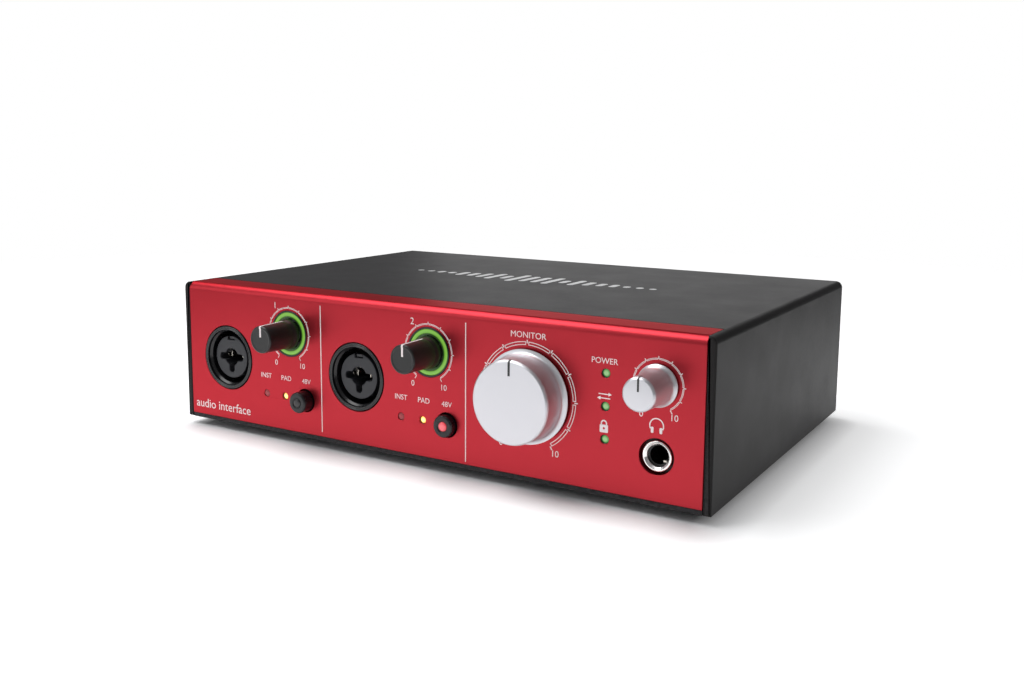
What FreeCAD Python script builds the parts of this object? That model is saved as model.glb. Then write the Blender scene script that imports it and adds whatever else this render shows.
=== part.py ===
"""Two-channel desktop audio interface, as the pieces it comes apart into on a bench.

Millimetres. +X is to the right of a person facing the front panel, +Y runs to the back and +Z is up.
The origin is the middle of the outline, on the surface that the rubber feet stand on.
Heights named *_height are above the bottom of the case. Turned pieces are drawn about their own axis,
with zero at the panel that they pass through and the positive side outside the case.
"""
import FreeCAD, Part
import math
import os
import re

import Sketcher
from FreeCAD import Placement, Rotation, Vector

SIZES = {
    # Case
    "body_width": 210.0,
    "body_height": 51.8,
    "body_depth": 141.8,
    "foot_height": 3.0,
    "side_wall": 2.6,
    "top_wall": 2.0,
    "corner_round": 3.0,
    "edge_round": 0.9,
    "panel_thick": 3.0,
    "lip_depth": 13.4,
    "lip_thick": 1.9,
    "base_thick": 1.5,
    "rear_thick": 1.6,
    "fit_gap": 0.1,
    "face_gap": 0.05,
    "snug_gap": 0.02,
    "cut_past": 1.0,
    "boss_side": 8.0,
    "boss_setback": 22.0,
    "boss_tall": 9.0,
    "boss_bore": 8.0,
    "base_setback": 0.3,
    "foot_inset_side": 17.0,
    "foot_inset_end": 16.0,
    "foot_radius": 7.0,
    "foot_taper": 0.7,
    "foot_round": 0.5,
    "foot_screw_room": 0.6,
    "foot_screw_head": 0.9,
    # Screws
    "screw_radius": 1.2,
    "screw_hole": 1.5,
    "screw_length": 7.0,
    "head_radius": 2.6,
    "head_thick": 1.2,
    "driver_recess": 0.9,
    # Channel strip, of which there are two, one pitch apart
    "channel_pitch": 60.4,
    "combo_across": -82.9,
    "combo_height": 24.9,
    "combo_hole": 12.0,
    "combo_rim": 11.7,
    "combo_mouth": 10.4,
    "combo_groove": 9.7,
    "combo_core": 7.9,
    "combo_recess": 1.6,
    "combo_depth": 24.0,
    "combo_proud": 0.2,
    "combo_wall": 0.5,
    "combo_flange": 1.2,
    "flange_thick": 2.4,
    "combo_floor": 2.0,
    "moulded_round": 0.25,
    "bore_length": 11.9,
    "slot_half": 0.95,
    "slot_overlap": 0.6,
    "slot_deep": 2.9,
    "key_half": 1.7,
    "key_deep": 1.5,
    "plug_bore": 3.25,
    "spring_chamber": 3.9,
    "contact_circle": 4.7,
    "contact_hole": 1.15,
    "contact_deep": 14.0,
    "sleeve_setback": 3.4,
    "sleeve_long": 8.0,
    "sleeve_wall": 0.3,
    "sleeve_floor": 1.0,
    "spring_near": 3.35,
    "spring_far": 3.65,
    "spring_setback": 12.3,
    "spring_long": 6.7,
    "spring_tall": 2.2,
    "gain_across": -52.65,
    "gain_height": 36.85,
    "halo_outer": 7.6,
    "halo_inner": 5.5,
    "bezel_outer": 8.2,
    "bezel_proud": 0.15,
    "bezel_flange": 1.0,
    "bezel_floor": 1.6,
    "halo_seat": 0.35,
    "halo_round": 0.3,
    "gain_gap": 0.5,
    "gain_rim": 1.2,
    "gain_waist": 2.0,
    "gain_round": 0.45,
    "knob_wall": 1.5,
    "shaft_stop": 0.2,
    "gain_skirt": 5.4,
    "gain_foot": 5.1,
    "gain_cap": 4.8,
    "gain_reach": 14.1,
    "instrument_across": -63.85,
    "mode_across": -55.1,
    "lamp_height": 13.9,
    "lamp_hole": 1.3,
    "lamp_radius": 1.15,
    "lamp_recess": 0.4,
    "phantom_across": -45.5,
    "phantom_height": 13.6,
    "phantom_hole": 4.1,
    "phantom_cap": 3.7,
    "phantom_reach": 4.5,
    "phantom_travel": 1.9,
    "phantom_lens": 1.55,
    "phantom_stem": 1.6,
    "stem_back": 12.0,
    "cap_back": 5.5,
    "phantom_round": 0.6,
    "lens_seat": 1.2,
    "lens_proud": 0.1,
    "lens_round": 0.3,
    "switch_side": 8.0,
    "switch_front": 9.0,
    "well_radius": 1.95,
    "well_deep": 6.5,
    # Shafts and potentiometers
    "shaft_radius": 3.0,
    "shaft_clearance": 0.05,
    "shaft_depth": 15.2,
    "bushing_radius": 3.5,
    "pot_front": 9.0,
    "small_pot": 12.0,
    "large_pot": 16.0,
    "bushing_start": 0.3,
    "bushing_bore": 0.2,
    "board_front": 17.0,
    "board_thick": 1.6,
    # Monitor side
    "monitor_across": 44.8,
    "monitor_height": 27.2,
    "monitor_cap": 13.1,
    "monitor_foot": 13.3,
    "monitor_skirt": 14.9,
    "monitor_gap": 1.0,
    "monitor_reach": 10.9,
    "monitor_hub": 5.5,
    "monitor_hollow": 12.0,
    "hollow_deep": 6.0,
    "monitor_rim": 0.3,
    "monitor_flare": 1.8,
    "monitor_waist": 2.0,
    "monitor_wall": 2.0,
    "silver_round": 0.35,
    "phones_across": 88.0,
    "phones_knob_height": 36.1,
    "phones_cap": 4.97,
    "phones_foot": 5.15,
    "phones_skirt": 6.33,
    "phones_gap": 0.6,
    "phones_rim": 1.0,
    "phones_flare": 3.6,
    "phones_waist": 3.7,
    "phones_jack_height": 15.0,
    "phones_hole": 5.45,
    "ferrule_radius": 4.65,
    "ferrule_recess": 0.6,
    "plug_wall": 8.8,
    "ferrule_flange": 1.0,
    "ferrule_back": 1.5,
    "ferrule_round": 0.5,
    "jack_side": 11.6,
    "jack_long": 21.0,
    "chamber_long": 19.0,
    "jack_spring_near": 3.4,
    "jack_spring_far": 3.65,
    "jack_spring_start": 0.8,
    "jack_spring_end": 8.0,
    "tip_spring_end": 14.0,
    "jack_spring_tall": 2.4,
    "status_across": 71.45,
    "status_height": 17.6,
    "status_pitch": 10.0,
    "status_hole": 1.4,
    "status_radius": 1.25,
    # Boards
    "main_board_height": 7.5,
    "main_board_half": 93.5,
    "front_board_half": 99.0,
    "front_board_low": 6.0,
    "front_board_high": 47.0,
    "window_room": 2.0,
    "jack_window": 15.0,
    "board_start": 3.0,
    "board_end": 5.0,
    "post_radius": 2.6,
    "standoff_inset": 6.0,
    "standoff_near": 34.0,
    "standoff_middle": 84.0,
    "standoff_far": 32.0,
    "header_left": 20.0,
    "header_right": 50.0,
    "header_start": 1.6,
    "header_deep": 9.0,
    "header_foot": 3.0,
    "header_stem": 4.0,
    "header_tall": 9.0,
    "chip_thick": 1.6,
    "can_start": 20.0,
    "can_pitch": 11.0,
    "can_back": 28.0,
    "can_radius": 4.0,
    "can_tall": 12.0,
    # Rear panel
    "rear_reach": 2.4,
    "rear_row_height": 22.0,
    "output_across": -84.0,
    "output_pitch": 19.0,
    "output_bushing": 4.5,
    "output_room": 0.15,
    "output_side": 16.0,
    "output_deep": 22.0,
    "output_over": 8.0,
    "output_bore": 15.0,
    "output_chamber": 8.0,
    "chamber_start": 12.0,
    "nut_over": 1.9,
    "nut_thick": 1.8,
    "midi_across": -4.0,
    "midi_pitch": 22.0,
    "midi_window": 7.8,
    "midi_nose": 7.6,
    "midi_proud": 0.4,
    "midi_nose_long": 4.0,
    "midi_side": 20.0,
    "midi_deep": 14.0,
    "midi_over": 9.5,
    "midi_groove": 6.9,
    "midi_island": 5.9,
    "groove_deep": 9.0,
    "island_step": 0.1,
    "midi_pin_circle": 3.6,
    "midi_pin_hole": 0.8,
    "midi_pin_deep": 8.0,
    "optical_across": 37.0,
    "port_width": 6.4,
    "port_tall": 7.4,
    "port_depth": 10.5,
    "optical_window_wide": 12.4,
    "optical_window_tall": 13.1,
    "optical_room": 0.2,
    "optical_proud": 0.2,
    "optical_side": 13.0,
    "optical_deep": 12.0,
    "optical_over": 7.3,
    "flap_thick": 0.7,
    "flap_pin": 0.35,
    "flap_setback": 3.4,
    "flap_drop": 0.9,
    "flap_long": 5.9,
    "flap_room": 0.3,
    "pin_reach": 0.6,
    "pin_end_gap": 0.2,
    "usb_across": 53.0,
    "usb_window_wide": 9.6,
    "usb_window_tall": 4.0,
    "usb_wide": 8.94,
    "usb_tall": 3.2,
    "usb_sheet": 0.3,
    "usb_long": 9.0,
    "usb_hollow": 7.0,
    "tongue_wide": 6.7,
    "tongue_thick": 0.7,
    "tongue_start": 1.0,
    "tongue_end": 7.5,
    "usb_foot_end": 7.2,
    "usb_foot_gap": 0.2,
    "usb_foot_under": 1.4,
    "dc_across": 67.0,
    "dc_window": 4.9,
    "dc_nose": 4.7,
    "dc_proud": 0.3,
    "dc_nose_long": 3.0,
    "dc_side": 9.4,
    "dc_deep": 11.0,
    "dc_over": 5.0,
    "dc_well": 2.9,
    "dc_well_deep": 9.0,
    "dc_pin": 1.05,
    "dc_pin_start": 1.0,
    "dc_pin_long": 9.5,
    "power_across": 83.0,
    "power_window_wide": 13.0,
    "power_window_tall": 19.2,
    "power_bezel_wide": 15.0,
    "power_bezel_tall": 21.2,
    "power_bezel_thick": 1.2,
    "power_case_wide": 12.8,
    "power_case_tall": 19.0,
    "power_case_deep": 14.0,
    "power_well_wide": 11.4,
    "power_well_tall": 16.6,
    "power_well_deep": 12.0,
    "rocker_pivot": 2.0,
    "rocker_tilt": 10.0,
    "rocker_wide": 10.8,
    "rocker_end": 7.3,
    "rocker_high": 2.6,
    "rocker_low": 1.3,
    "rocker_shoulder": 6.5,
    "rocker_shoulder_deep": 1.0,
    "rocker_heel": 2.5,
    "rocker_heel_deep": 3.5,
    "rocker_pin": 1.0,
    "rocker_pin_long": 12.1,
    "rocker_hole": 1.05,
    "rocker_hole_long": 12.3,
    "lock_across": 96.5,
    "lock_height": 32.0,
    "lock_wide": 3.0,
    "lock_tall": 7.0,
}
# The origin's Y is half-way between the longest knob's face and the end of the rear jack bushings.
SIZES["front_face"] = (SIZES["gain_reach"] - SIZES["body_depth"] - SIZES["rear_reach"]) / 2

CHANNELS = (1, 2)
OUTPUTS = (0, 1, 2, 3)
STATUS_LIGHTS = (0, 1, 2)
MIDI_SOCKETS = (0, 1)
CAN_COUNT = 6
# Each chip: its middle across and back, and its side.
CHIPS = ((-40, -8, 14), (-8, 2, 10), (30, -6, 17), (62, 8, 10))
SIDES = (-1, 1)
OUT_OF_FRONT = Rotation(Vector(1, 0, 0), 90)
OUT_OF_REAR = Rotation(Vector(1, 0, 0), -90)
UPRIGHT = Rotation()
DOWNWARD = Rotation(Vector(1, 0, 0), 180)

document = FreeCAD.newDocument("audio_interface")
sheet = document.addObject("Spreadsheet::Sheet", "Sizes")
for row, (alias, number) in enumerate(SIZES.items(), start=1):
    sheet.set(f"A{row}", alias)
    sheet.set(f"B{row}", str(number))
    sheet.setAlias(f"B{row}", alias)
document.recompute()
kept = []


# ---------------------------------------------------------------- expressions and placement


def bound(text):
    """An expression in which every word of the sheet is spelt with the sheet's name."""
    return re.sub(r"[a-z]+(_[a-z]+)+", lambda word: "Sizes." + word[0], str(text))


def value(text):
    """What an expression comes to now, as a plain number."""
    return float(sheet.evalExpression(bound(text)))


def tie(thing, **sizes):
    """Bind properties of an object to expressions."""
    for name, text in sizes.items():
        thing.setExpression(name, bound(text))
    return thing


def put(thing, across, back, up, turn=UPRIGHT):
    """Place an object by three expressions and a turn."""
    thing.Placement = Placement(Vector(value(across), value(back), value(up)), turn)
    thing.setExpression("Placement.Base.x", bound(across))
    thing.setExpression("Placement.Base.y", bound(back))
    thing.setExpression("Placement.Base.z", bound(up))
    return thing


def keep(thing, label):
    """Mark a finished sub-part, under the name that its file and node get."""
    thing.Label = label
    kept.append(thing)
    return thing


# ---------------------------------------------------------------- solids


def block(name, across, back, up):
    """A box between pairs of expressions, one pair for each axis."""
    box = document.addObject("Part::Box", name)
    tie(
        box,
        Length=f"({across[1]}) - ({across[0]})",
        Width=f"({back[1]}) - ({back[0]})",
        Height=f"({up[1]}) - ({up[0]})",
    )
    return put(box, across[0], back[0], up[0])


def rod(name, radius, length, across, back, up, turn=UPRIGHT):
    """A cylinder that runs from the given point along +Z, turned."""
    cylinder = document.addObject("Part::Cylinder", name)
    tie(cylinder, Radius=radius, Height=length)
    return put(cylinder, across, back, up, turn)


def cut(name, base, tools):
    """The base with every tool taken away."""
    for number, tool in enumerate(tools):
        step = document.addObject("Part::Cut", f"{name}_cut_{number}")
        step.Base = base
        step.Tool = tool
        base = step
    return base


def fuse(name, pieces):
    """One solid out of pieces that touch or overlap."""
    joined = document.addObject("Part::MultiFuse", name + "_joined")
    joined.Shapes = pieces
    joined.Refine = True
    return joined


def group(name, pieces):
    """Identical or similar pieces that share a node and stay separate solids."""
    together = document.addObject("Part::Compound", name)
    together.Links = pieces
    return keep(together, name)


def new_body(name):
    return document.addObject("PartDesign::Body", name)


def new_sketch(body, role, name):
    """A sketch on one of the body's own origin planes."""
    sketch = body.newObject("Sketcher::SketchObject", name)
    plane = next(item for item in body.Origin.OriginFeatures if item.Role == role)
    sketch.AttachmentSupport = (plane, [""])
    sketch.MapMode = "FlatFace"
    return sketch


def fix_point(sketch, piece, corner, across, along):
    """Hold one point of a sketch at two expressions from the sketch's origin."""
    for direction, text in (("DistanceX", across), ("DistanceY", along)):
        rule = Sketcher.Constraint(direction, -1, 1, piece, corner, value(text))
        sketch.setExpression(f"Constraints[{sketch.addConstraint(rule)}]", bound(text))


def draw_arc(sketch, start, end, radius):
    """Add an arc that turns right on its way from start to end, and bind its radius."""
    size = value(radius)
    way = end - start
    rise = math.sqrt(size**2 - way.Length**2 / 4)
    centre = (start + end) / 2 + Vector(way.y, -way.x, 0).normalize() * rise
    angles = [math.atan2(point.y - centre.y, point.x - centre.x) for point in (end, start)]
    number = sketch.addGeometry(Part.ArcOfCircle(Part.Circle(centre, Vector(0, 0, 1), size), *angles))
    rule = sketch.addConstraint(Sketcher.Constraint("Radius", number, size))
    sketch.setExpression(f"Constraints[{rule}]", bound(radius))


def draw_outline(sketch, points):
    """Add a closed outline through pairs of expressions. A third one makes the next edge a hollow arc."""
    corners = [Vector(value(point[0]), value(point[1]), 0) for point in points]
    first = sketch.GeometryCount
    count = len(corners)
    for number, point in enumerate(points):
        end = corners[(number + 1) % count]
        if len(point) > 2:
            draw_arc(sketch, corners[number], end, point[2])
        else:
            sketch.addGeometry(Part.LineSegment(corners[number], end))
    starts = [2 if len(point) > 2 else 1 for point in points]
    for number in range(count):
        following = (number + 1) % count
        meets = (first + number, 3 - starts[number], first + following, starts[following])
        sketch.addConstraint(Sketcher.Constraint("Coincident", *meets))
    for number, point in enumerate(points):
        fix_point(sketch, first + number, starts[number], point[0], point[1])


def draw_circle(sketch, radius, across, along):
    """Add a circle whose radius and centre are expressions."""
    circle = Part.Circle(Vector(value(across), value(along), 0), Vector(0, 0, 1), value(radius))
    number = sketch.addGeometry(circle)
    rule = sketch.addConstraint(Sketcher.Constraint("Radius", number, value(radius)))
    sketch.setExpression(f"Constraints[{rule}]", bound(radius))
    fix_point(sketch, number, 3, across, along)


def rectangle(across, along):
    """The corners of a rectangle between two pairs of expressions."""
    return [(across[0], along[0]), (across[1], along[0]), (across[1], along[1]), (across[0], along[1])]


def centred(middle, size):
    """A pair of expressions, half of the size to each side of the middle."""
    return (f"{middle} - ({size}) / 2", f"{middle} + ({size}) / 2")


def pocket(body, sketch, name, depth=None):
    """Cut a sketch into its body: right through it, or one depth down from the sketch's plane."""
    feature = body.newObject("PartDesign::Pocket", name)
    feature.Profile = sketch
    if depth is None:
        feature.Type = "ThroughAll"
        feature.SideType = "Symmetric"
    else:
        tie(feature, Length=depth)
    before = body.Shape.Volume
    document.recompute()
    if body.Shape.Volume >= before:
        raise RuntimeError(f"{name} cuts nothing")
    return feature


def round_over(body, name, radius, wanted):
    """Round the edges of a body's last feature that the test picks out."""
    document.recompute()
    base = body.Tip
    edges = [f"Edge{n}" for n, edge in enumerate(base.Shape.Edges, start=1) if wanted(edge)]
    if not edges:
        raise RuntimeError(f"{name} finds no edge to round")
    feature = body.newObject("PartDesign::Fillet", name)
    feature.Base = (base, edges)
    tie(feature, Radius=radius)
    return feature


def is_ring(radius, along):
    """A test for a circular edge about the local Z axis, of this radius and at this place on it."""

    def test(edge):
        curve = edge.Curve
        if not isinstance(curve, Part.Circle):
            return False
        same_size = abs(curve.Radius - value(radius)) < 1e-4
        return same_size and abs(curve.Center.z - value(along)) < 1e-4

    return test


def turned(name, profile, across, back, up, turn=OUT_OF_FRONT, rings=()):
    """A body of revolution. The profile is radius and place along the axis; rings are edges to round."""
    body = new_body(name + "_body")
    sketch = new_sketch(body, "XZ_Plane", name + "_profile")
    draw_outline(sketch, profile)
    spin = body.newObject("PartDesign::Revolution", name + "_spin")
    spin.Profile = sketch
    spin.ReferenceAxis = (sketch, ["V_Axis"])
    spin.Angle = 360
    for number, (rounding, radius, along) in enumerate(rings):
        round_over(body, f"{name}_round_{number}", rounding, is_ring(radius, along))
    document.recompute()
    return put(body, across, back, up, turn)


def channel_place(across, channel):
    """The same place in each channel strip."""
    return f"{across} + {channel - 1} * channel_pitch"


def case_height(height):
    """A height above the bottom of the case, as a height above the floor."""
    return f"foot_height + {height}"


def screw(name, across, back, up, turn):
    """A pan-head screw whose head stands outside the face that the given point lies on."""
    profile = [
        ("0", "-screw_length"),
        ("screw_radius", "-screw_length"),
        ("screw_radius", "0"),
        ("head_radius", "0"),
        ("head_radius", "head_thick"),
        ("driver_recess", "head_thick"),
        ("driver_recess", "head_thick / 3"),
        ("0", "head_thick / 3"),
    ]
    rings = [("head_thick / 3", "head_radius", "head_thick")]
    return turned(name, profile, across, back, up, turn, rings)


# ---------------------------------------------------------------- case


INNER_HALF = "(body_width / 2 - side_wall)"
REAR_FACE = "(front_face + body_depth)"
CASE_TOP = "(foot_height + body_height)"
PANEL_HALF = f"({INNER_HALF} - fit_gap)"
INSIDE_REAR = f"({REAR_FACE} - rear_thick - face_gap)"
ROW_UP = case_height("rear_row_height")
BOARD_TOP = case_height("main_board_height + board_thick")
BOSS_HOLE = "screw_radius + snug_gap"
BOSS_MIDDLE = f"({INNER_HALF} - boss_side / 2)"
BASE_SCREW_BACKS = {
    "front": "front_face + boss_setback + boss_side / 2",
    "rear": f"{REAR_FACE} - boss_setback",
}
REAR_SCREW_HEIGHTS = (16, 44)
FOOT_BACKS = {
    "front": "front_face + foot_inset_end",
    "rear": f"{REAR_FACE} - foot_inset_end",
}
FOOT_SIDE = "(body_width / 2 - foot_inset_side)"
STANDOFF_BACKS = (
    "front_face + standoff_near",
    "front_face + standoff_middle",
    f"{REAR_FACE} - standoff_far",
)
STANDOFF_SIDE = "(main_board_half - standoff_inset)"


def front_panel():
    """Red front plate with a lip that turns back over the top of the case."""
    body = new_body("front_panel_body")
    profile = new_sketch(body, "YZ_Plane", "front_panel_profile")
    back_of_lip = "front_face + lip_depth"
    back_of_plate = "front_face + panel_thick"
    under_lip = f"{CASE_TOP} - lip_thick"
    lower_edge = "foot_height + base_thick + face_gap"
    points = [
        ("front_face", lower_edge),
        (back_of_plate, lower_edge),
        (back_of_plate, under_lip),
        (back_of_lip, under_lip),
        (back_of_lip, CASE_TOP),
        ("front_face", CASE_TOP),
    ]
    draw_outline(profile, points)
    plate = body.newObject("PartDesign::Pad", "front_panel_plate")
    plate.Profile = profile
    plate.SideType = "Symmetric"
    tie(plate, Length=f"2 * {PANEL_HALF}")

    def is_top_front(edge):
        middle = edge.CenterOfMass
        return abs(middle.y - value("front_face")) < 1e-4 and abs(middle.z - value(CASE_TOP)) < 1e-4

    round_over(body, "front_panel_brow", "corner_round - fit_gap", is_top_front)
    holes = new_sketch(body, "XZ_Plane", "front_panel_holes")
    circles = []
    for channel in CHANNELS:
        circles += [
            ("combo_hole", channel_place("combo_across", channel), "combo_height"),
            ("bezel_outer + face_gap", channel_place("gain_across", channel), "gain_height"),
            ("lamp_hole", channel_place("instrument_across", channel), "lamp_height"),
            ("lamp_hole", channel_place("mode_across", channel), "lamp_height"),
            ("phantom_hole", channel_place("phantom_across", channel), "phantom_height"),
        ]
    circles += [
        ("bushing_radius + fit_gap", "monitor_across", "monitor_height"),
        ("bushing_radius + fit_gap", "phones_across", "phones_knob_height"),
        ("phones_hole", "phones_across", "phones_jack_height"),
    ]
    for number in STATUS_LIGHTS:
        circles.append(("status_hole", "status_across", f"status_height + {number} * status_pitch"))
    for radius, across, height in circles:
        draw_circle(holes, radius, across, case_height(height))
    pocket(body, holes, "front_panel_drilling")
    return keep(body, "front_panel")


def top_cover():
    """Black cover: two thick cheeks and the top, notched in front for the red lip, with screw bosses."""
    body = new_body("top_cover_body")
    section = new_sketch(body, "XZ_Plane", "top_cover_section")
    half = "body_width / 2"
    under = f"{CASE_TOP} - top_wall"
    points = [
        (f"-({half})", "foot_height"),
        (f"-{INNER_HALF}", "foot_height"),
        (f"-{INNER_HALF}", under),
        (INNER_HALF, under),
        (INNER_HALF, "foot_height"),
        (half, "foot_height"),
        (half, CASE_TOP),
        (f"-({half})", CASE_TOP),
    ]
    draw_outline(section, points)
    shell = body.newObject("PartDesign::Pad", "top_cover_shell")
    shell.Profile = section
    shell.Reversed = True
    tie(shell, Length="body_depth")

    def is_long_outer(edge):
        middle = edge.CenterOfMass
        runs_back = edge.Length > value("body_depth") - 1
        return runs_back and abs(abs(middle.x) - value(half)) < 1e-4

    round_over(body, "top_cover_shoulders", "side_wall - 2 * fit_gap", is_long_outer)
    notch = new_sketch(body, "XY_Plane", "top_cover_notch")
    draw_outline(notch, rectangle((f"-{INNER_HALF}", INNER_HALF), ("-cut_past", "lip_depth + fit_gap")))
    pocket(body, notch, "top_cover_notching")

    def is_cheek_front(edge):
        middle = edge.CenterOfMass
        outside = abs(middle.x) > value(INNER_HALF) + value("edge_round")
        return abs(middle.y) < 1e-4 and outside

    round_over(body, "top_cover_front_edges", "edge_round", is_cheek_front)
    put(body, "0", "front_face", "0")
    bosses = []
    holes = []
    boss_under = "foot_height + base_thick + fit_gap / 2"
    for side in SIDES:
        inner = sorted((f"{side} * {INNER_HALF}", f"{side} * ({INNER_HALF} - boss_side)"), key=value)
        middle = f"{side} * {BOSS_MIDDLE}"
        for end, back in BASE_SCREW_BACKS.items():
            name = f"top_cover_boss_{end}_{side + 1}"
            bosses.append(
                block(name, inner, centred(back, "boss_side"), (boss_under, f"{boss_under} + boss_tall")),
            )
            holes.append(rod(name + "_hole", BOSS_HOLE, "boss_bore", middle, back, boss_under))
        for height in REAR_SCREW_HEIGHTS:
            name = f"top_cover_rear_boss_{height}_{side + 1}"
            inside = f"{REAR_FACE} - rear_thick - fit_gap / 2"
            up = case_height(height)
            back = (f"{inside} - boss_side", inside)
            bosses.append(block(name, inner, back, centred(up, "boss_side")))
            holes.append(rod(name + "_hole", BOSS_HOLE, "screw_length", middle, inside, up, OUT_OF_FRONT))
    return keep(cut("top_cover", fuse("top_cover", [body] + bosses), holes), "top_cover")


def base_plate():
    """Flat steel floor, drilled for feet, cover and standoffs. Its front edge shows under the front panel."""
    body = new_body("base_plate_body")
    outline = new_sketch(body, "XY_Plane", "base_plate_outline")
    back = ("front_face + base_setback", f"{REAR_FACE} - rear_thick - fit_gap / 2")
    draw_outline(outline, rectangle((f"-{PANEL_HALF}", PANEL_HALF), back))
    for side in SIDES:
        for where in BASE_SCREW_BACKS.values():
            draw_circle(outline, "screw_hole", f"{side} * {BOSS_MIDDLE}", where)
        for where in FOOT_BACKS.values():
            draw_circle(outline, "screw_radius", f"{side} * {FOOT_SIDE}", where)
    plate = body.newObject("PartDesign::Pad", "base_plate_sheet")
    plate.Profile = outline
    tie(plate, Length="base_thick")
    document.recompute()
    put(body, "0", "0", "foot_height")
    return keep(body, "base_plate")


def rubber_feet():
    """Four round feet, each recessed for the head of its screw."""
    profile = [
        ("screw_hole", "0"),
        ("screw_hole", "-foot_height / 2"),
        ("head_radius + foot_screw_room", "-foot_height / 2"),
        ("head_radius + foot_screw_room", "-foot_height"),
        ("foot_radius - foot_taper", "-foot_height"),
        ("foot_radius", "0"),
    ]
    feet = []
    screws = []
    for end, back in FOOT_BACKS.items():
        for side in SIDES:
            across = f"{side} * {FOOT_SIDE}"
            name = f"{end}_{side + 1}"
            rings = [("foot_round", "foot_radius - foot_taper", "-foot_height")]
            feet.append(turned(f"foot_{name}", profile, across, back, "foot_height", UPRIGHT, rings))
            screws.append(foot_screw(f"foot_screw_{name}", across, back))
    group("rubber_feet", feet)
    group("foot_screws", screws)


def foot_screw(name, across, back):
    """A screw that clamps a foot to the base plate from inside the foot's recess."""
    seat = "-foot_height / 2"
    profile = [
        ("0", "base_thick"),
        ("screw_radius - snug_gap", "base_thick"),
        ("screw_radius - snug_gap", seat),
        ("head_radius", seat),
        ("head_radius", f"{seat} - foot_screw_head"),
        ("0", f"{seat} - foot_screw_head"),
    ]
    return turned(name, profile, across, back, "foot_height", UPRIGHT)


def case_screws():
    """Screws that hold the base plate and the rear panel to the cover's bosses."""
    base = []
    rear = []
    for side in SIDES:
        across = f"{side} * {BOSS_MIDDLE}"
        for end, back in BASE_SCREW_BACKS.items():
            base.append(screw(f"base_screw_{end}_{side + 1}", across, back, "foot_height", DOWNWARD))
        for height in REAR_SCREW_HEIGHTS:
            name = f"rear_screw_{height}_{side + 1}"
            rear.append(screw(name, across, REAR_FACE, case_height(height), OUT_OF_REAR))
    group("base_screws", base)
    group("rear_screws", rear)


# ---------------------------------------------------------------- channel strip


def combo_socket(channel):
    """Combined microphone and jack socket: housing, insert and contacts."""
    across = channel_place("combo_across", channel)
    place = (across, "front_face", case_height("combo_height"))
    housing = [
        ("0", "-combo_depth"),
        ("combo_rim + combo_wall", "-combo_depth"),
        ("combo_rim + combo_wall", "-panel_thick - flange_thick"),
        ("combo_hole + combo_flange", "-panel_thick - flange_thick"),
        ("combo_hole + combo_flange", "-panel_thick - face_gap"),
        ("combo_rim", "-panel_thick - face_gap"),
        ("combo_rim", "combo_proud"),
        ("combo_mouth", "combo_proud"),
        ("combo_mouth", "-combo_recess / 2"),
        ("combo_groove", "-combo_recess"),
        ("combo_groove", "combo_floor - combo_depth"),
        ("0", "combo_floor - combo_depth"),
    ]
    rings = [("moulded_round", "combo_rim", "combo_proud"), ("moulded_round", "combo_mouth", "combo_proud")]
    keep(turned(f"combo_housing_{channel}", housing, *place, rings=rings), f"combo_housing_{channel}")

    floor = "combo_floor + face_gap - combo_depth"
    bore_end = "-combo_recess - bore_length"
    insert_profile = [
        ("plug_bore", "-combo_recess"),
        ("combo_core", "-combo_recess"),
        ("combo_core", floor),
        ("spring_chamber", floor),
        ("spring_chamber", bore_end),
        ("plug_bore", bore_end),
    ]
    rings = [("moulded_round", "combo_core", "-combo_recess")]
    body = turned(f"combo_insert_{channel}", insert_profile, *place, rings=rings)
    reach = "(contact_circle + contact_hole)"
    mouths = new_sketch(body, "XY_Plane", f"combo_insert_mouths_{channel}")
    wide = ("-slot_half", "slot_half")
    start = "plug_bore - slot_overlap"
    draw_outline(mouths, rectangle((start, reach), wide))
    draw_outline(mouths, rectangle((f"-{reach}", "slot_overlap - plug_bore"), wide))
    draw_outline(mouths, rectangle(wide, (f"-{reach}", "slot_overlap - plug_bore")))
    draw_outline(
        mouths,
        rectangle(("-key_half", "key_half"), ("combo_core - key_deep", "combo_core + cut_past")),
    )
    pocket(body, mouths, f"combo_insert_slots_{channel}", "combo_recess + slot_deep")
    holes = new_sketch(body, "XY_Plane", f"combo_insert_holes_{channel}")
    for right, up in ((1, 0), (-1, 0), (0, -1)):
        draw_circle(holes, "contact_hole", f"{right} * contact_circle", f"{up} * contact_circle")
    pocket(body, holes, f"combo_insert_drilling_{channel}", "contact_deep")
    keep(body, f"combo_insert_{channel}")

    contacts = []
    for number, (right, up) in enumerate(((1, 0), (-1, 0), (0, -1))):
        name = f"combo_sleeve_{channel}_{number}"
        centre = (
            f"{across} + {right} * contact_circle",
            "front_face + combo_recess + sleeve_setback",
            case_height(f"combo_height + {up} * contact_circle"),
        )
        outside = rod(name, "contact_hole - face_gap", "sleeve_long", *centre, OUT_OF_REAR)
        inside = rod(
            name + "_bore",
            "contact_hole - face_gap - sleeve_wall",
            "sleeve_long - sleeve_floor",
            *centre,
            OUT_OF_REAR,
        )
        contacts.append(cut(name, outside, [inside]))
    start = "front_face + combo_recess + spring_setback"
    for side in SIDES:
        near = sorted((f"{across} + {side} * spring_near", f"{across} + {side} * spring_far"), key=value)
        back = (start, f"{start} + spring_long")
        up = centred(case_height("combo_height"), "spring_tall")
        contacts.append(block(f"combo_spring_{channel}_{side + 1}", near, back, up))
    group(f"combo_contacts_{channel}", contacts)


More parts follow.
